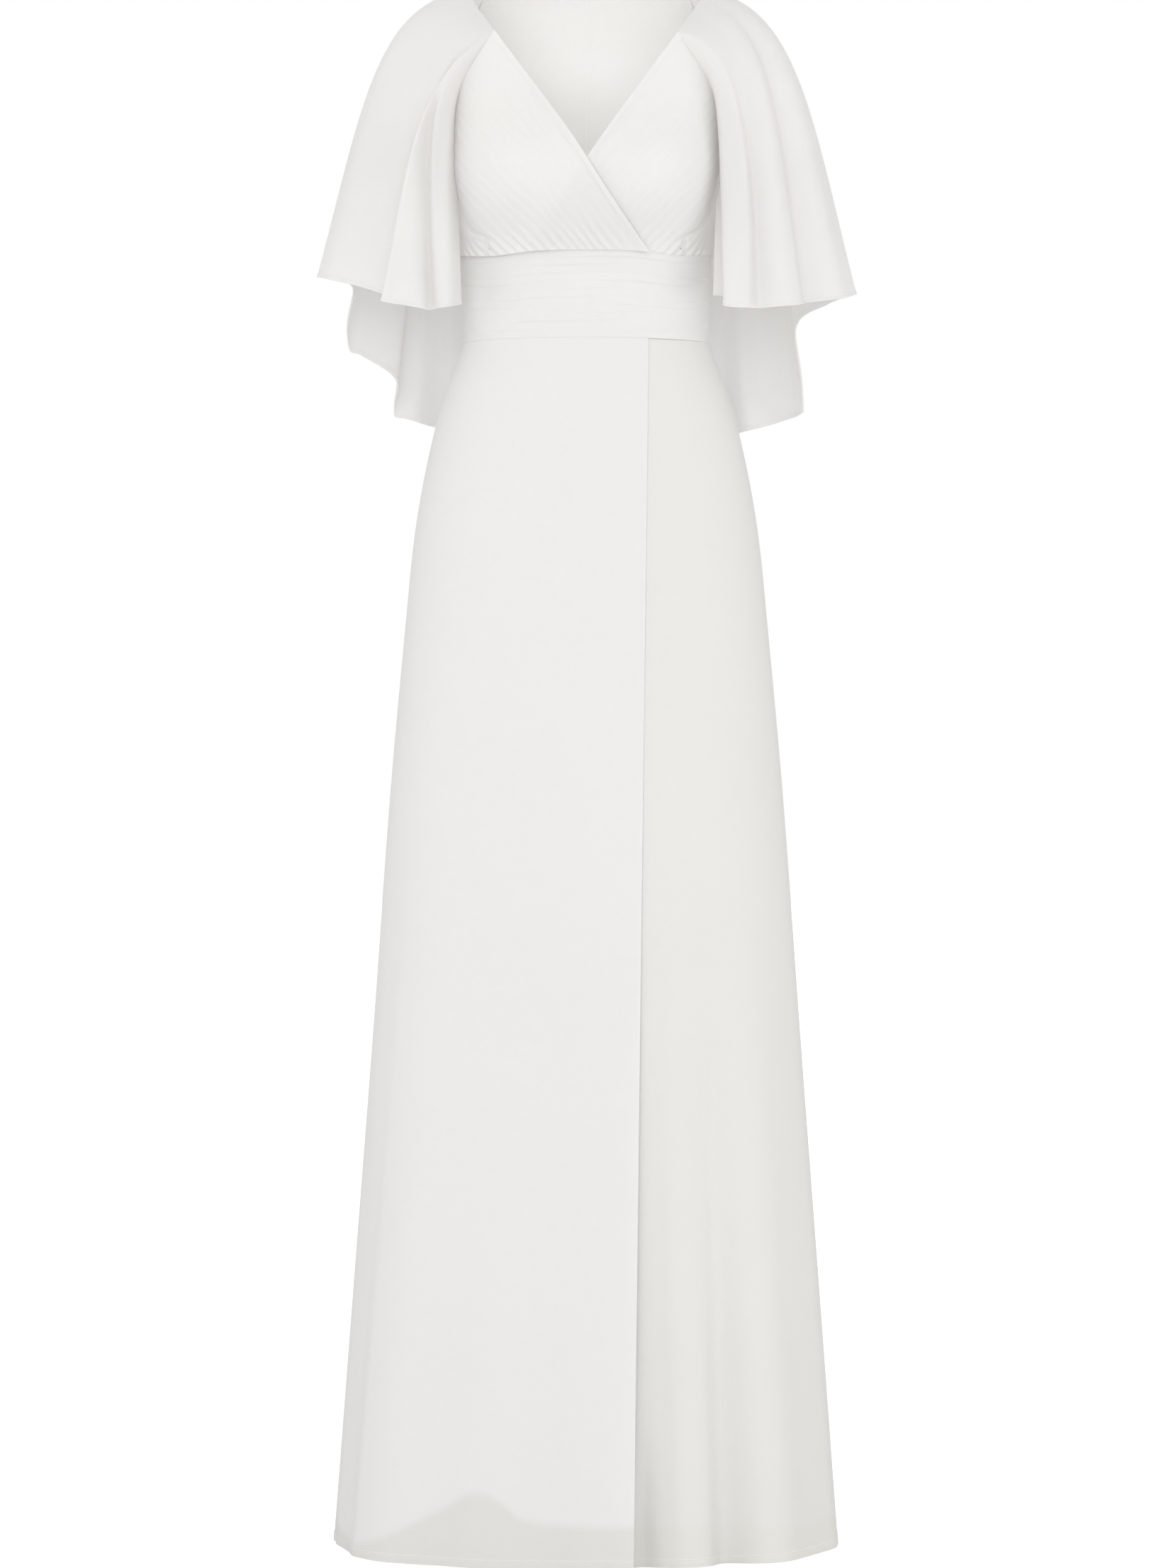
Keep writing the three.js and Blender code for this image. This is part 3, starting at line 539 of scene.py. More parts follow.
def new_material(name):
    material = bpy.data.materials.new(name)
    material.use_nodes = True
    nodes = material.node_tree.nodes
    nodes.clear()
    return material, nodes, material.node_tree.links


def add_node(nodes, kind, values):
    """A new node with these values on its own sockets."""
    node = nodes.new(kind)
    for socket, value in values.items():
        node.inputs[socket].default_value = value
    return node


def cloth_material(name, colour, shade, *, cover, glow, weave, bumps, sheen, see_through_shade=None):
    """Crepe chiffon: a soft uneven colour, a fine pebbled weave, sheen and a little see-through.

    cover: its alpha. glow: how much of the light on it comes from behind it. weave: the
    scale of its grain. bumps: the strength of that grain. see_through_shade: the colour that
    the cloth is multiplied by where no lining backs it, painted shade for the shaded inside
    of the skirt seen through it.
    """
    material, nodes, links = new_material(name)
    output = nodes.new("ShaderNodeOutputMaterial")
    look = {"Roughness": 0.82, "Specular IOR Level": 0.25, "Alpha": cover}
    look.update({"Sheen Weight": sheen, "Sheen Roughness": 0.45})
    shader = add_node(nodes, "ShaderNodeBsdfPrincipled", look)
    place = nodes.new("ShaderNodeTexCoord")
    patches = add_node(nodes, "ShaderNodeTexNoise", {"Scale": 9.0, "Detail": 3.0})
    links.new(place.outputs["Object"], patches.inputs["Vector"])
    blend = nodes.new("ShaderNodeMix")
    blend.data_type = "RGBA"
    blend.inputs["A"].default_value = (*colour, 1)
    blend.inputs["B"].default_value = (*shade, 1)
    links.new(patches.outputs["Fac"], blend.inputs["Factor"])
    tint = blend.outputs["Result"]
    if see_through_shade is not None:
        # Painted shade: where no lining backs the cloth its colour is darkened, for the shaded
        # inside seen through it.
        lacking = nodes.new("ShaderNodeAttribute")
        lacking.attribute_name = "unbacked"
        dimmed = nodes.new("ShaderNodeMix")
        dimmed.data_type = "RGBA"
        dimmed.blend_type = "MULTIPLY"
        dimmed.inputs["B"].default_value = (*see_through_shade, 1)
        links.new(lacking.outputs["Fac"], dimmed.inputs["Factor"])
        links.new(tint, dimmed.inputs["A"])
        tint = dimmed.outputs["Result"]
    links.new(tint, shader.inputs["Base Color"])
    grain = add_node(nodes, "ShaderNodeTexNoise", {"Scale": weave, "Detail": 2.0})
    links.new(place.outputs["Object"], grain.inputs["Vector"])
    ribs = {"Scale": weave * THREAD_SCALE, "Distortion": 3.0, "Detail": 1.0}
    threads = add_node(nodes, "ShaderNodeTexWave", ribs)
    threads.wave_type = "BANDS"
    threads.bands_direction = "Z"
    links.new(place.outputs["Object"], threads.inputs["Vector"])
    both = nodes.new("ShaderNodeMath")
    both.operation = "MULTIPLY_ADD"
    both.inputs[1].default_value = THREAD_SHARE
    links.new(threads.outputs["Fac"], both.inputs[0])
    links.new(grain.outputs["Fac"], both.inputs[2])
    bump = add_node(nodes, "ShaderNodeBump", {"Strength": bumps, "Distance": GRAIN_HEIGHT})
    links.new(both.outputs["Value"], bump.inputs["Height"])
    links.new(bump.outputs["Normal"], shader.inputs["Normal"])
    through = nodes.new("ShaderNodeBsdfTranslucent")
    links.new(tint, through.inputs["Color"])
    links.new(bump.outputs["Normal"], through.inputs["Normal"])
    lit_through = add_node(nodes, "ShaderNodeMixShader", {"Fac": glow})
    links.new(shader.outputs["BSDF"], lit_through.inputs[1])
    links.new(through.outputs["BSDF"], lit_through.inputs[2])
    links.new(lit_through.outputs["Shader"], output.inputs["Surface"])
    return material


def floor_material():
    """White to the camera and pale grey to the light that the floor throws back."""
    material, nodes, links = new_material("pale_floor")
    output = nodes.new("ShaderNodeOutputMaterial")
    look = {"Base Color": FLOOR_GREY, "Roughness": 1.0, "Specular IOR Level": 0.0}
    look.update({"Emission Color": WHITE, "Emission Strength": 1.0})
    shader = add_node(nodes, "ShaderNodeBsdfPrincipled", look)
    lit = add_node(nodes, "ShaderNodeBsdfDiffuse", {"Color": FLOOR_LIT})
    path = nodes.new("ShaderNodeLightPath")
    choose = nodes.new("ShaderNodeMixShader")
    links.new(path.outputs["Is Camera Ray"], choose.inputs["Fac"])
    links.new(lit.outputs["BSDF"], choose.inputs[1])
    links.new(shader.outputs["BSDF"], choose.inputs[2])
    links.new(choose.outputs["Shader"], output.inputs["Surface"])
    return material


CHIFFON_BODICE = cloth_material(
    "chiffon_bodice", IVORY, IVORY_DEEP, cover=1.0, glow=0.31, weave=900, bumps=0.35, sheen=0.15
)
HUNG_CLOTH = dict(cover=0.95, glow=0.18, weave=900, bumps=0.25, sheen=0.12)
CHIFFON_SKIRT = cloth_material(
    "chiffon_skirt", SKIRT_IVORY, SKIRT_DEEP, see_through_shade=UNLINED_SHADE, **HUNG_CLOTH
)
# The lower front wears the darker copy of the skirt's chiffon: painted shade.
CHIFFON_UNDER_SHADED = cloth_material(
    "chiffon_under_shaded", SHADED_UNDER_IVORY, SHADED_UNDER_DEEP, see_through_shade=UNLINED_UNDER_SHADE, **HUNG_CLOTH
)
CHIFFON_SLEEVE = cloth_material(
    "chiffon_sleeve", SHEER_IVORY, IVORY, cover=0.86, glow=0.48, weave=900, bumps=0.25, sheen=0.12
)
LINING = cloth_material(
    "lining", LINING_WHITE, IVORY, cover=1.0, glow=0.15, weave=1400, bumps=0.1, sheen=0.05
)
THREAD = cloth_material(
    "thread", IVORY_DEEP, THREAD_SHADE, cover=1.0, glow=0.1, weave=3000, bumps=0.2, sheen=0.1
)

# ---------------------------------------------------------------- bodice


def raglan_place(rows, share, at_back):
    steps = [dict(row, share=i / (len(rows) - 1)) for i, row in enumerate(rows)]
    x = read_table(steps, "share", "x", share)
    z = read_table(steps, "share", "z", share)
    return turn_at(x, z, at_back), z


def armhole_place(rows, share, at_back):
    seam_turn, seam_z = raglan_place(rows, np.minimum(share / SEAM_PART, 1), at_back)
    along = np.clip((share - SEAM_PART) / (1 - SEAM_PART), 0, 1)
    z = np.where(share > SEAM_PART, mix(seam_z, UNDERARM_Z, np.sin(along * QUARTER)), seam_z)
    turn = np.where(share > SEAM_PART, mix(seam_turn, QUARTER, along), seam_turn)
    return turn, z


def front_place(across, down):
    """A front in its own terms: across 0 at the neck edge, 1 at the side seam; down 0 to 1."""
    arm_turn, arm_z = armhole_place(RAGLAN_FRONT, np.minimum(across / ARMHOLE_SHARE, 1), False)
    along = np.clip((across - ARMHOLE_SHARE) / (1 - ARMHOLE_SHARE), 0, 1)
    on_side = across > ARMHOLE_SHARE
    start_turn = np.where(on_side, QUARTER, arm_turn)
    start_z = np.where(on_side, mix(UNDERARM_Z, WAIST_TOP_Z, along), arm_z)
    lap_turn = turn_at(np.array(LAP_END_X), np.array(WAIST_TOP_Z))
    end_turn = mix(lap_turn, QUARTER, across)
    end_z = WAIST_TOP_Z - bust_dip(end_turn)
    z = mix(start_z, end_z, down)
    start_x = figure(start_turn, start_z)[..., 0]
    end_x = figure(end_turn, end_z)[..., 0]
    straight = turn_at(mix(start_x, end_x, down), z)
    rounded = mix(start_turn, end_turn, down)
    return mix(straight, rounded, ease(0, ROUNDED_BY, across)), z


def pleat_profile(count):
    """A soft knife pleat: a quick rise to a rounded lip, then a long slope back.

    count: runs up by 1 a pleat.
    """
    phase = np.mod(count, 1.0)
    return ease(0.0, PLEAT_LIP, phase) * (1 - ease(PLEAT_LIP, 1.0, phase) ** PLEAT_FALL)


def front_relief(across, down, x, z):
    """How far a front's neck strip, pleats and gathers stand out, and its side seam sinks in."""
    folded = NECK_STRIP["share"]
    strip = 1 - ease(folded * NECK_STRIP["flat"], folded, across)
    beyond = np.clip((across - folded) / (1 - folded), 0, 1)
    wander = 0
    for wave in PLEAT_WANDER:
        wander = wander + wave["size"] * np.sin(down * wave["down"] + across * wave["across"])
    pleats = pleat_profile(beyond * PLEATS + wander)
    grown = mix(PLEAT_STRENGTH["least"], 1, ease(*PLEAT_STRENGTH["full"], down))
    strength = (1 - strip) * ease(0, PLEAT_STRENGTH["start"], down) * grown
    strength = strength * (1 - PLEAT_STRENGTH["side_loss"] * ease(*PLEAT_STRENGTH["side"], across))
    relief = PLEAT_RISE * pleats * strength + NECK_STRIP["rise"] * strip
    sway = CUP_GATHER["sway"] * np.sin(across * CUP_GATHER["waves"])
    gather = CUP_GATHER["rise"] * np.sin(beyond * PLEATS * 2 * math.pi + sway)
    gather = gather * ease(*CUP_GATHER["down"], down) * ease(*CUP_GATHER["neck"], across)
    relief = relief + gather * (1 - ease(*CUP_GATHER["side"], across))
    relief = relief * (1 - SEAM_PULL["loss"] * ease(SEAM_PULL["starts"], 1.0, down))
    from_seam = np.abs(x) - read_table(CUP_SEAM, "z", "x", z)
    below_arm = ease(CUP_SEAM[-1]["z"], CUP_SEAM[-2]["z"], z)
    below_arm = below_arm * ease(*CUP_SEAM_GROOVE["across"], across)
    groove = CUP_SEAM_GROOVE["depth"] * bell(from_seam, CUP_SEAM_GROOVE["width"])
    return relief - groove * below_arm


def bodice_front(name, side, laps):
    rows, columns = FRONT_GRID["rows"], PLEATS * FRONT_GRID["pleat_columns"]
    across = np.linspace(0, 1, columns + 1)[None, :].repeat(rows + 1, 0)
    down = np.linspace(0, 1, rows + 1)[:, None].repeat(columns + 1, 1)
    turn, z = front_place(across, down)
    turn = side * np.minimum(turn, QUARTER - SEAM_TURN)
    x = side * figure(turn, z)[..., 0]
    lift = LAP_LIFT * ease(-LAP_FADE[0], -LAP_FADE[1], x) if laps else 0 * x
    outer = moved_out(turn, z, lift + front_relief(across, down, x, z))
    inner = moved_out(turn, z, lift - BODICE_CLOTH)
    piece = shell(name, outer, inner, CHIFFON_BODICE)
    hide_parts(name)
    sewn = (slice(2, -1), round(NECK_STRIP["share"] * NECK_STRIP["sewn"] * columns))
    stitches = stitch_line(name + "_stitches", *raised(outer[sewn], turn[sewn], z[sewn]))
    cut_sheet(outer, inner, PLEATED)


def raised(points, turn, z):
    """A route just over the cloth's face, and the way out from it."""
    outward = moved_out(turn, z, 1.0 + 0 * z) - figure(turn, z)
    return points + outward * STITCH["thick"] * STITCH["proud"], outward


def bodice_back(name, side):
    rows, columns, neck_columns = BACK_GRID["rows"], BACK_GRID["columns"], BACK_GRID["neck_columns"]
    share = np.arange(columns + 1) / columns
    neck_along = np.clip(np.arange(columns + 1) / neck_columns, 0, 1)
    neck = RAGLAN_BACK[0]
    neck_turn = turn_at(np.array(float(neck["x"])), np.array(float(neck["z"])), True)
    arm_along = np.clip((np.arange(columns + 1) - neck_columns) / (columns - neck_columns), 0, 1)
    arm_turn, arm_z = armhole_place(RAGLAN_BACK, arm_along, True)
    under_neck = np.arange(columns + 1) <= neck_columns
    top_turn = np.where(under_neck, mix(HALF, neck_turn, neck_along), arm_turn)
    top_z = np.where(under_neck, mix(BACK_NECK_Z, neck["z"], neck_along**2), arm_z)
    up = np.linspace(0, 1, rows + 1)[:, None]
    turn = mix(mix(HALF, QUARTER, share)[None, :], top_turn[None, :], up)
    turn = side * np.clip(turn, QUARTER + SEAM_TURN, HALF - SEAM_TURN)
    z = mix(WAIST_TOP_Z, top_z[None, :], up)
    strip = ease(*BACK_STRIP["edge"], up) * under_neck[None, :]
    share = share[None, :]
    sway = np.sin(share * BACK_GATHER["waves"])
    gather = np.sin(share * 2 * math.pi * BACK_GATHER["count"] + sway)
    gather = gather * (1 - ease(*BACK_GATHER["up"], up))
    kept = 1 - ease(0.0, 1.0, np.abs(share - 0.5) * 2) * BACK_GATHER["side_loss"]
    relief = BACK_STRIP["rise"] * strip + BACK_GATHER["rise"] * gather * kept
    outer = moved_out(turn, z, relief)
    inner = moved_out(turn, z, 0 * z - BODICE_CLOTH)
    piece = shell(name, outer, inner, CHIFFON_BODICE)
    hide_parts(name)
    sewn = (round(BACK_STRIP["sewn"] * rows), slice(1, neck_columns))
    stitches = stitch_line(name + "_stitches", *raised(outer[sewn], turn[sewn], z[sewn]))
    cut_sheet(outer, inner, takes=GATHERED)


# ---------------------------------------------------------------- waistband


def swung(wave, value):
    return wave["middle"] + wave["swing"] * np.sin(value)


def tuck_relief(turn, down):
    """How far the band's tucks and fine pulls stand out."""
    sway = 0
    for wave in TUCK_SWAY:
        angle = wave["turn"] * turn + down * wave["down"] + wave["ahead"]
        sway = sway + wave["size"] * np.sin(angle)
    count = down * TUCKS + sway * np.sin(down * math.pi)
    phase, number = np.mod(count, 1.0), np.floor(count)
    depth = swung(TUCK_BY_NUMBER, TUCK_BY_NUMBER["number"] * number + TUCK_BY_NUMBER["ahead"])
    along = TUCK_ALONG["turn"] * turn + TUCK_ALONG["number"] * number
    depth = depth * swung(TUCK_ALONG, along)
    swell = ease(*TUCK_LIP["swells"], phase) ** TUCK_LIP["fullness"]
    tuck = depth * swell * (1 - ease(*TUCK_LIP["turns_under"], phase))
    angle = BAND_PULLS["turn"] * turn + BAND_PULLS["sway"] * np.sin(down * BAND_PULLS["down"])
    pulls = BAND_PULLS["rise"] * np.sin(angle) * np.sin(down * math.pi)
    return TUCK_RISE * tuck * ease(*TUCK_STARTS, down) + pulls


def waistband(name, start, end, columns):
    rows = TUCKS * BAND_GRID["tuck_rows"]
    turn = np.linspace(start, end, columns + 1)[None, :]
    down = np.linspace(0, 1, rows + 1)[:, None]
    relief = tuck_relief(turn, down)
    z = mix(WAIST_TOP_Z - SEAM_GAP - bust_dip(turn), WAIST_LOW_Z, down)
    turn = turn + 0 * z
    x = figure(turn, z)[..., 0]
    over_lap = ease(*BAND_LIFT["starts"], x) * (1 - ease(*BAND_LIFT["ends"], x))
    over_lap = over_lap * (np.cos(turn) > 0)
    relief = relief + BAND_LIFT["rise"] * over_lap * (1 - ease(0, BAND_LIFT["fades"], down))
    outer = moved_out(turn, z, relief)
    inner = moved_out(turn, z, 0 * z - BODICE_CLOTH)
    piece = shell(name, outer, inner, CHIFFON_BODICE)
    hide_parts(name)
    cut_sheet(outer, inner, takes=TUCKED)


# ---------------------------------------------------------------- skirt


def height_up(z):
    """0 at the skirt's hem, 1 at its top."""
    return np.clip((z - HEM_Z) / (SKIRT_TOP_Z - HEM_Z), 0, 1)


def grown_from(starts, z):
    """0 down to the height where a shape starts, 1 at the skirt's hem."""
    return np.clip((starts - z) / (starts - HEM_Z), 0, 1)


def folds_out(folds, turn, z):
    out = 0
    for fold in folds:
        grown = grown_from(fold["starts"], z) ** FOLD_GROWTH
        centre = np.radians(fold["turn"] + fold["drift"] * height_up(z))
        out = out + fold["depth"] * grown * bell(turned(turn - centre), math.radians(fold["width"]))
    return out


def edge_turn(edge, z):
    return turn_at(mix(edge["hem_x"], edge["top_x"], height_up(z)), z)


def skirt_rows():
    """Heights of the rows: even at first, closer by the lining's hem, closest at the folded hem."""
    even = np.linspace(SKIRT_TOP_Z, LINING_SHOWS_Z, SKIRT_GRID["even"])[:-1]
    fine_end = HEM_Z + HEM_DEPTH + SKIRT_GRID["over_hem"]
    fine = np.linspace(LINING_SHOWS_Z, fine_end, SKIRT_GRID["fine"])
    folded = [HEM_DEPTH + step for step in HEM_ROWS]
    close = HEM_Z + np.array([*folded, HEM_DEPTH / 2, *HEM_LOW_ROWS])
    return np.concatenate([even, fine, close])


def skirt_panel(name, columns, start, end, drop, material, rests_on):
    share = np.linspace(0, 1, columns + 1)[None, :]
    z = skirt_rows()[:, None] + 0 * share
    turn = mix(start(z), end(z), share)
    hem = HEM_RISE * ease(HEM_DEPTH + HEM_BLUR, HEM_DEPTH - HEM_BLUR, z - HEM_Z)
    out = folds_out(SKIRT_FOLDS, turn, z) + folds_out(SKIRT_CREASES, turn, z) - drop(turn, z)
    outer = moved_out(turn, z, out + hem)
    inner = moved_out(turn, z, out - CHIFFON)
    # How far each point lacks the lining, which sets the painted shade there.
    unbacked = ease(UNLINED_BLUR, -UNLINED_BLUR, z - lining_hem(turn))
    piece = shell(name, outer, inner, material, unbacked)
    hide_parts(name)
    sewn = (HEM_SEWN, slice(1, -1))
    stitches = stitch_line(name + "_stitches", *raised(outer[sewn], turn[sewn], z[sewn]))
    cut_sheet(outer, inner)


def level(turn, z):
    """No drop, for a panel that lies over no other."""
    return 0 * z


def underlap(turn, z):
    """How far the lower front lies inside the upper one."""
    deep = UNDERLAP_DEEP * grown_from(UNDERLAP_STARTS, z) ** UNDERLAP_GROWTH
    opened = grown_from(SLIT_HOLLOW["starts"], z)
    away = bell(turn - math.radians(SLIT_HOLLOW["turn"]), math.radians(SLIT_HOLLOW["width"]))
    settled = 1 - ease(*map(math.radians, UNDERLAP_SETTLES), turn)
    past_edge = turn - edge_turn(LAP_EDGE, z) - math.radians(EDGE_HOLLOW["past"])
    grown = grown_from(EDGE_HOLLOW["starts"], z)
    beside = EDGE_HOLLOW["depth"] * grown * bell(past_edge, math.radians(EDGE_HOLLOW["width"]))
    return (UNDERLAP_DROP + deep) * settled + SLIT_HOLLOW["depth"] * opened * away + beside


def lap_curl(turn, z):
    """The upper front's free edge curls outwards, more towards the hem."""
    grown = grown_from(LAP_CURL["starts"], z)
    away = turn - edge_turn(LAP_EDGE, z)
    folded = LAP_FOLD["drop"] * bell(away, math.radians(LAP_FOLD["width"]))
    return folded - LAP_CURL["lift"] * grown * bell(away, math.radians(LAP_CURL["width"]))


def steady(turn):
    """A panel edge that keeps its turn at every height."""
    def edge(z):
        return turn + 0 * z

    return edge


def leaning(edge):
    """A free front edge, which leans from the waist to the hem."""
    def turn(z):
        return edge_turn(edge, z)

    return turn


def lining_hem(turn):
    return read_table(LINING_HEM, "turn", "z", np.degrees(turned(turn)))


def lining_half(name, start, end):
    turn = np.linspace(start, end, LINING_GRID["columns"] + 1)[None, :]
    hem = lining_hem(turn)
    z = mix(SKIRT_TOP_Z, hem, np.linspace(0, 1, LINING_GRID["rows"] + 1)[:, None])
    turn = turn + 0 * z
    waist_in = SKIRT_ROOM + UNDERLAP_DROP + LINING_ROOM
    fall = LINING_FALL * grown_from(SKIRT_TOP_Z, z) ** LINING_FALL_GROWTH
    out = LINING_FOLDS * folds_out(SKIRT_FOLDS, turn, z) - waist_in - fall
    band_top, blur = LINING_BAND["height"], LINING_BAND["blur"]
    hem_band = LINING_BAND["rise"] * ease(band_top + blur, band_top - blur, z - hem)
    outer = moved_out(turn, z, out + hem_band)
    inner = moved_out(turn, z, out - LINING_CLOTH)
    piece = shell(name, outer, inner, LINING)
    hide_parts(name)
    cut_sheet(outer, inner)


# ---------------------------------------------------------------- sleeves


def neck_corner(rows, at_back):
    turn, z = raglan_place(rows, np.array([0.0]), at_back)
    return moved_out(turn, z, np.array([SLEEVE_STAND]))[0]


def seam_points(share):
    front_along = np.clip(1 - share / FRONT_SEAM_SHARE, 0, 1)
    front_turn, front_z = raglan_place(RAGLAN_FRONT, front_along, False)
    back_along = np.clip((share - BACK_SEAM_SHARE) / (1 - BACK_SEAM_SHARE), 0, 1)
    back_turn, back_z = raglan_place(RAGLAN_BACK, back_along, True)
    front = moved_out(front_turn, front_z, SLEEVE_STAND + 0 * front_z)
    back = moved_out(back_turn, back_z, SLEEVE_STAND + 0 * back_z)
    start, end = neck_corner(RAGLAN_FRONT, False), neck_corner(RAGLAN_BACK, True)
    pull = 2 * np.array(NECK_CROSSING) - 0.5 * start - 0.5 * end
    t = np.clip((share - FRONT_SEAM_SHARE) / (BACK_SEAM_SHARE - FRONT_SEAM_SHARE), 0, 1)[..., None]
    neck = (1 - t) ** 2 * start + 2 * t * (1 - t) * pull + t**2 * end
    on_front = (share <= FRONT_SEAM_SHARE)[..., None]
    on_back = (share >= BACK_SEAM_SHARE)[..., None]
    return np.where(on_front, front, np.where(on_back, back, neck))


def keep_clear(points, room, on_seam):
    turn = np.arctan2(points[..., 0], -points[..., 1])
    limit = moved_out(turn, points[..., 2], room)
    wanted = np.hypot(limit[..., 0], limit[..., 1])
    reach = np.hypot(points[..., 0], points[..., 1])
    grow = np.where(on_seam & (reach < wanted), wanted / reach, 1.0)
    points = points.copy()
    points[..., 0] *= grow
    points[..., 1] *= grow
    return points


def sleeve_points(hem, flutes, share, down):
    seam = seam_points(share)
    columns = ("bearing", "reach", "z")
    bearing, reach, z = [read_table(hem, "share", column, share) for column in columns]
    angle = np.radians(bearing)
    foot = np.stack([ARM[0] + reach * np.cos(angle), ARM[1] + reach * np.sin(angle), z], -1)
    run = foot - seam
    fall = -run[..., 2:3]
    run = run * np.array([1, 1, 0])
    up = np.array([0, 0, 1.0])
    drop = mix(CAP_DROP[0], CAP_DROP[1], np.abs(2 * share - 1) ** CAP_FULLNESS)[..., None]
    cap = seam + run * CAP_REACH - up * drop * fall
    knee = foot - run * FALL_INWARD + up * FALL_HEIGHT * fall
    t = down[..., None]
    upper = (1 - t) ** 3 * seam + 3 * t * (1 - t) ** 2 * cap
    points = upper + 3 * t**2 * (1 - t) * knee + t**3 * foot
    on_seam = (share <= FRONT_SEAM_SHARE) | (share >= BACK_SEAM_SHARE)
    room = SLEEVE_STAND + SLEEVE_EASE * ease(0, SLEEVE_SEATED, down)
    points = keep_clear(points, room, on_seam)
    out = 0
    for flute in flutes:
        centre = flute["bearing"] + flute["drift"] * (1 - down)
        out = out + flute["depth"] * bell(bearing - centre, flute["width"])
    out = out * down**FLUTE_GROWTH
    points[..., 0] += out * np.cos(angle)
    points[..., 1] += out * np.sin(angle)
    return points


def sleeve(name, side, hem, flutes):
    even_end = 1 - (NARROW_HEM + SLEEVE_HEM_BLUR) / SLEEVE_LENGTH
    rolled = [NARROW_HEM + step for step in SLEEVE_HEM_ROWS]
    close = 1 - np.array([*rolled, *SLEEVE_LOW_ROWS]) / SLEEVE_LENGTH
    down = np.concatenate([np.linspace(0, even_end, SLEEVE_GRID["rows"]), close])[:, None]
    share = np.linspace(0, 1, SLEEVE_GRID["columns"] + 1)[None, :]
    down, share = np.broadcast_arrays(down, share)
    middle = sleeve_points(hem, flutes, share, down)
    normal = unit(np.cross(np.gradient(middle, axis=0), np.gradient(middle, axis=1)))
    from_hem = (1 - down) * SLEEVE_LENGTH
    roll = ease(NARROW_HEM, NARROW_HEM - SLEEVE_HEM_BLUR, from_hem) * HEM_RISE
    outer = middle + normal * roll[..., None]
    inner = middle - normal * (CHIFFON + roll[..., None])
    mirror = np.array([side, 1, 1])
    piece = shell(name, outer * mirror, inner * mirror, CHIFFON_SLEEVE)
    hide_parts(name)
    sewn = (SLEEVE_SEWN, slice(1, -1))
    route = (outer[sewn] + normal[sewn] * STITCH["thick"] * STITCH["proud"]) * mirror
    stitches = stitch_line(name + "_stitches", route, normal[sewn] * mirror)
    cut_sheet(outer, inner)


# ---------------------------------------------------------------- the dress

FRONT_SPAN = (SEAM_TURN - QUARTER, QUARTER - SEAM_TURN)
BACK_LEFT_SPAN = (QUARTER + SEAM_TURN, HALF - SEAM_TURN)
BACK_RIGHT_SPAN = (SEAM_TURN - HALF, -QUARTER - SEAM_TURN)
BACK_SPAN = (QUARTER + SEAM_TURN, 3 * QUARTER - SEAM_TURN)

bodice_front("bodice_front_right", -1, laps=True)
bodice_front("bodice_front_left", 1, laps=False)
bodice_back("bodice_back_right", -1)
bodice_back("bodice_back_left", 1)
waistband("waistband_front", *FRONT_SPAN, BAND_GRID["front_columns"])
waistband("waistband_back_right", *BACK_RIGHT_SPAN, BAND_GRID["back_columns"])
waistband("waistband_back_left", *BACK_LEFT_SPAN, BAND_GRID["back_columns"])
skirt_panel(
    "skirt_front_right",
    SKIRT_COLUMNS["upper"],
    steady(FRONT_SPAN[0]),
    leaning(LAP_EDGE),
    lap_curl,
    CHIFFON_SKIRT,
    ["skirt_front_left", "skirt_lining_front"],
)
skirt_panel(
    "skirt_front_left",
    SKIRT_COLUMNS["lower"],
    leaning(UNDERLAP_EDGE),
    steady(FRONT_SPAN[1]),
    underlap,
    CHIFFON_UNDER_SHADED,
    ["skirt_lining_front"],
)
for back_name, span in (("skirt_back_right", BACK_RIGHT_SPAN), ("skirt_back_left", BACK_LEFT_SPAN)):
    edges = [steady(turn) for turn in span]
    columns, under_back = SKIRT_COLUMNS["back"], ["skirt_lining_back"]
    skirt_panel(back_name, columns, *edges, level, CHIFFON_SKIRT, under_back)
lining_half("skirt_lining_front", *FRONT_SPAN)
lining_half("skirt_lining_back", *BACK_SPAN)
sleeve("sleeve_right", -1, HEM_RIGHT, FLUTES_RIGHT)
sleeve("sleeve_left", 1, HEM_LEFT, FLUTES_LEFT)

# ---------------------------------------------------------------- floor, light and camera
FLOOR_Z = HEM_Z - 15
FLOOR_SIZE = 60  # metres, as the camera's and the lamps' places are
CAMERA_AWAY = 5.5
CAMERA_Z = -0.780
LENS = 127.9
AMBIENT = 0.89
AMBIENT_WHITE = (1, 0.995, 0.985, 1)
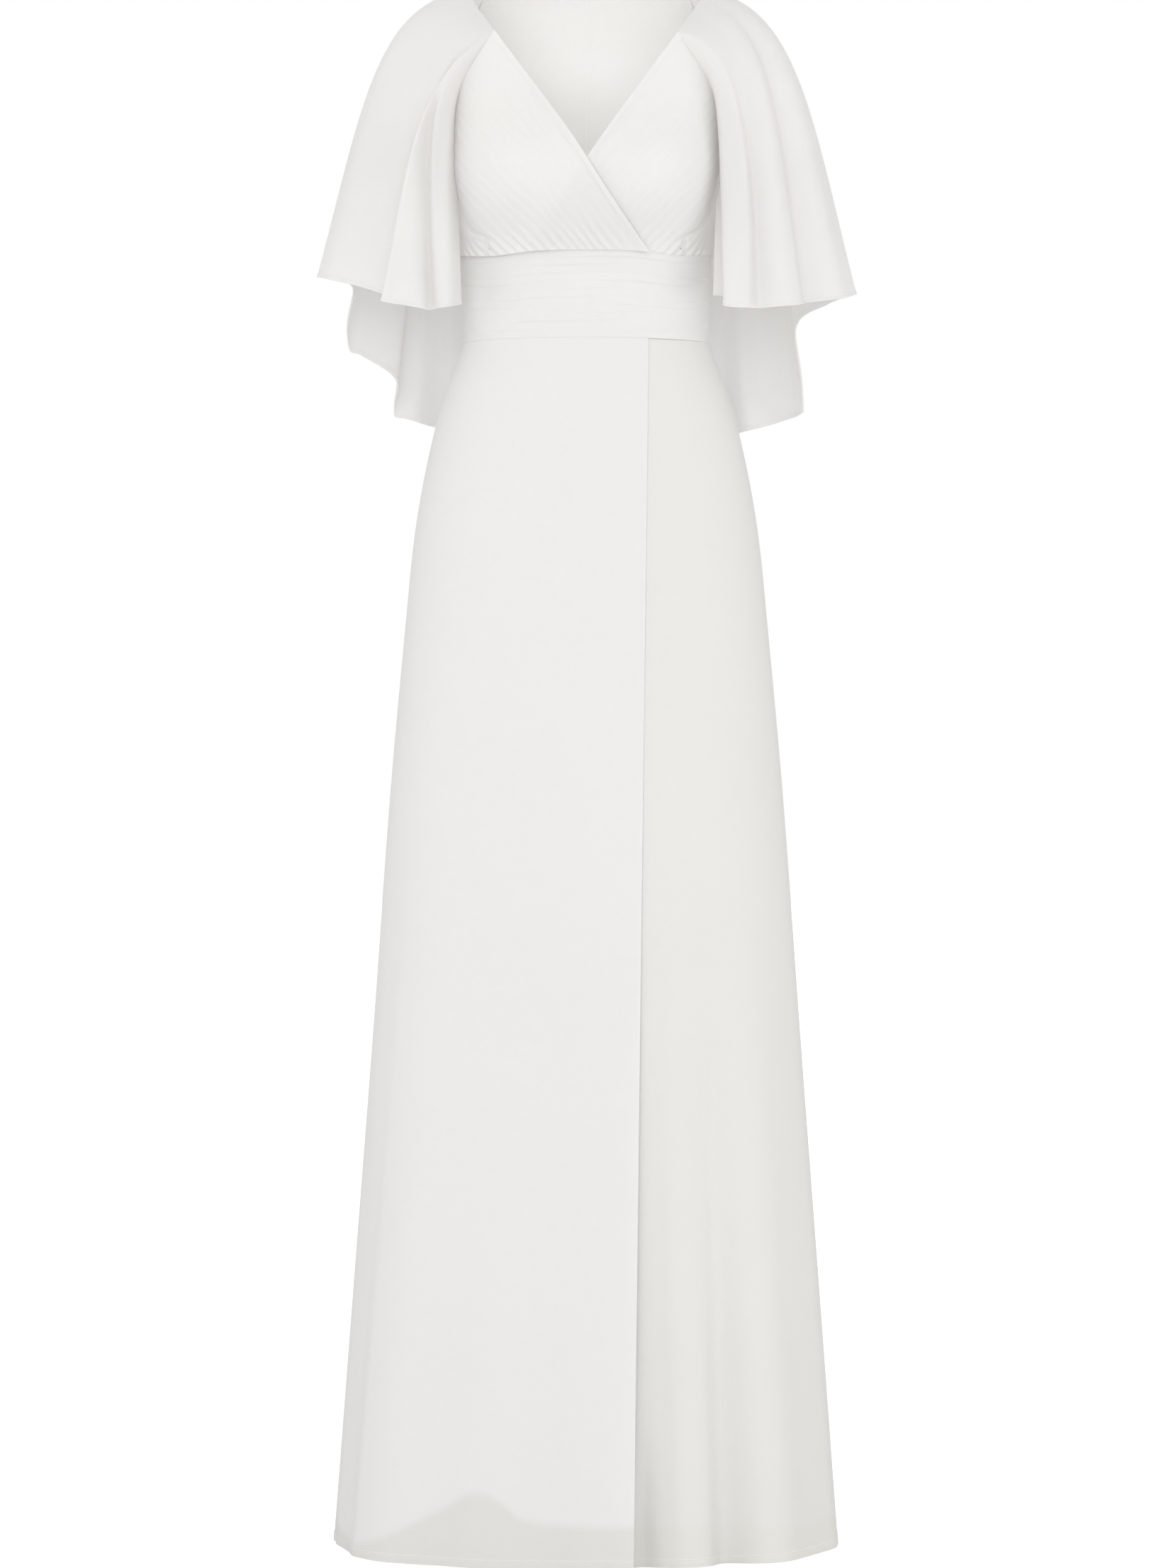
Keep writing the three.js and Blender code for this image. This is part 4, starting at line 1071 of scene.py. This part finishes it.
# The neck lamp hangs in the neck hollow. Powers are in watts.
LAMPS = [
    dict(name="key", place=(-1.9, -3.4, 1.5), aim=(0, 0, -0.6), size=(1.8, 2.2), power=16),
    dict(name="fill", place=(2.6, -3.0, 0.4), aim=(0, 0, -0.8), size=(2.0, 2.6), power=8),
    dict(name="front", place=(-0.2, -4.4, -0.25), aim=(0, 0, -0.4), size=(2.6, 2.0), power=50.5),
    dict(name="side_right", place=(-3.4, -0.6, -1.0), aim=(0, 0, -1.2), size=(1.6, 2.6), power=22),
    dict(name="side_left", place=(3.4, -0.9, -1.3), aim=(0, 0, -1.35), size=(1.6, 2.0), power=31),
    dict(name="neck", place=(0, -0.03, -0.08), aim=(0, 0.1, -0.13), size=(0.12, 0.12), power=0.062),
]


def floor():
    bpy.ops.mesh.primitive_plane_add(size=FLOOR_SIZE, location=(0, 0, FLOOR_Z * MM))
    plane = bpy.context.object
    plane.name = "floor"
    plane.data.materials.append(floor_material())


def area_light(name, place, aim, size, power):
    data = bpy.data.lights.new(name, "AREA")
    data.shape = "RECTANGLE"
    data.size, data.size_y = size
    data.energy = power
    light = bpy.data.objects.new(name, data)
    bpy.context.scene.collection.objects.link(light)
    light.location = place
    direction = np.array(aim, float) - np.array(place, float)
    light.rotation_euler = Vector(direction).to_track_quat("-Z", "Y").to_euler()
    light.visible_camera = False


def studio():
    """A surround that is white to the camera and lights the dress softly, and the lamps."""
    world = bpy.data.worlds.new("studio")
    bpy.context.scene.world = world
    world.use_nodes = True
    nodes, links = world.node_tree.nodes, world.node_tree.links
    seen = nodes["Background"]
    seen.inputs["Color"].default_value = WHITE
    seen.inputs["Strength"].default_value = 1.0
    lit = add_node(nodes, "ShaderNodeBackground", {"Color": AMBIENT_WHITE, "Strength": AMBIENT})
    path = nodes.new("ShaderNodeLightPath")
    choose = nodes.new("ShaderNodeMixShader")
    links.new(path.outputs["Is Camera Ray"], choose.inputs["Fac"])
    links.new(lit.outputs["Background"], choose.inputs[1])
    links.new(seen.outputs["Background"], choose.inputs[2])
    links.new(choose.outputs["Shader"], nodes["World Output"].inputs["Surface"])
    for lamp in LAMPS:
        area_light(**lamp)
    bpy.context.scene.view_settings.view_transform = "Standard"


def camera():
    data = bpy.data.cameras.new("camera")
    data.lens = LENS
    data.sensor_width = 36
    view = bpy.data.objects.new("camera", data)
    bpy.context.scene.collection.objects.link(view)
    view.location = (0.0, -CAMERA_AWAY, CAMERA_Z)
    view.rotation_euler = (QUARTER, 0, 0)
    bpy.context.scene.camera = view


floor()
studio()
camera()
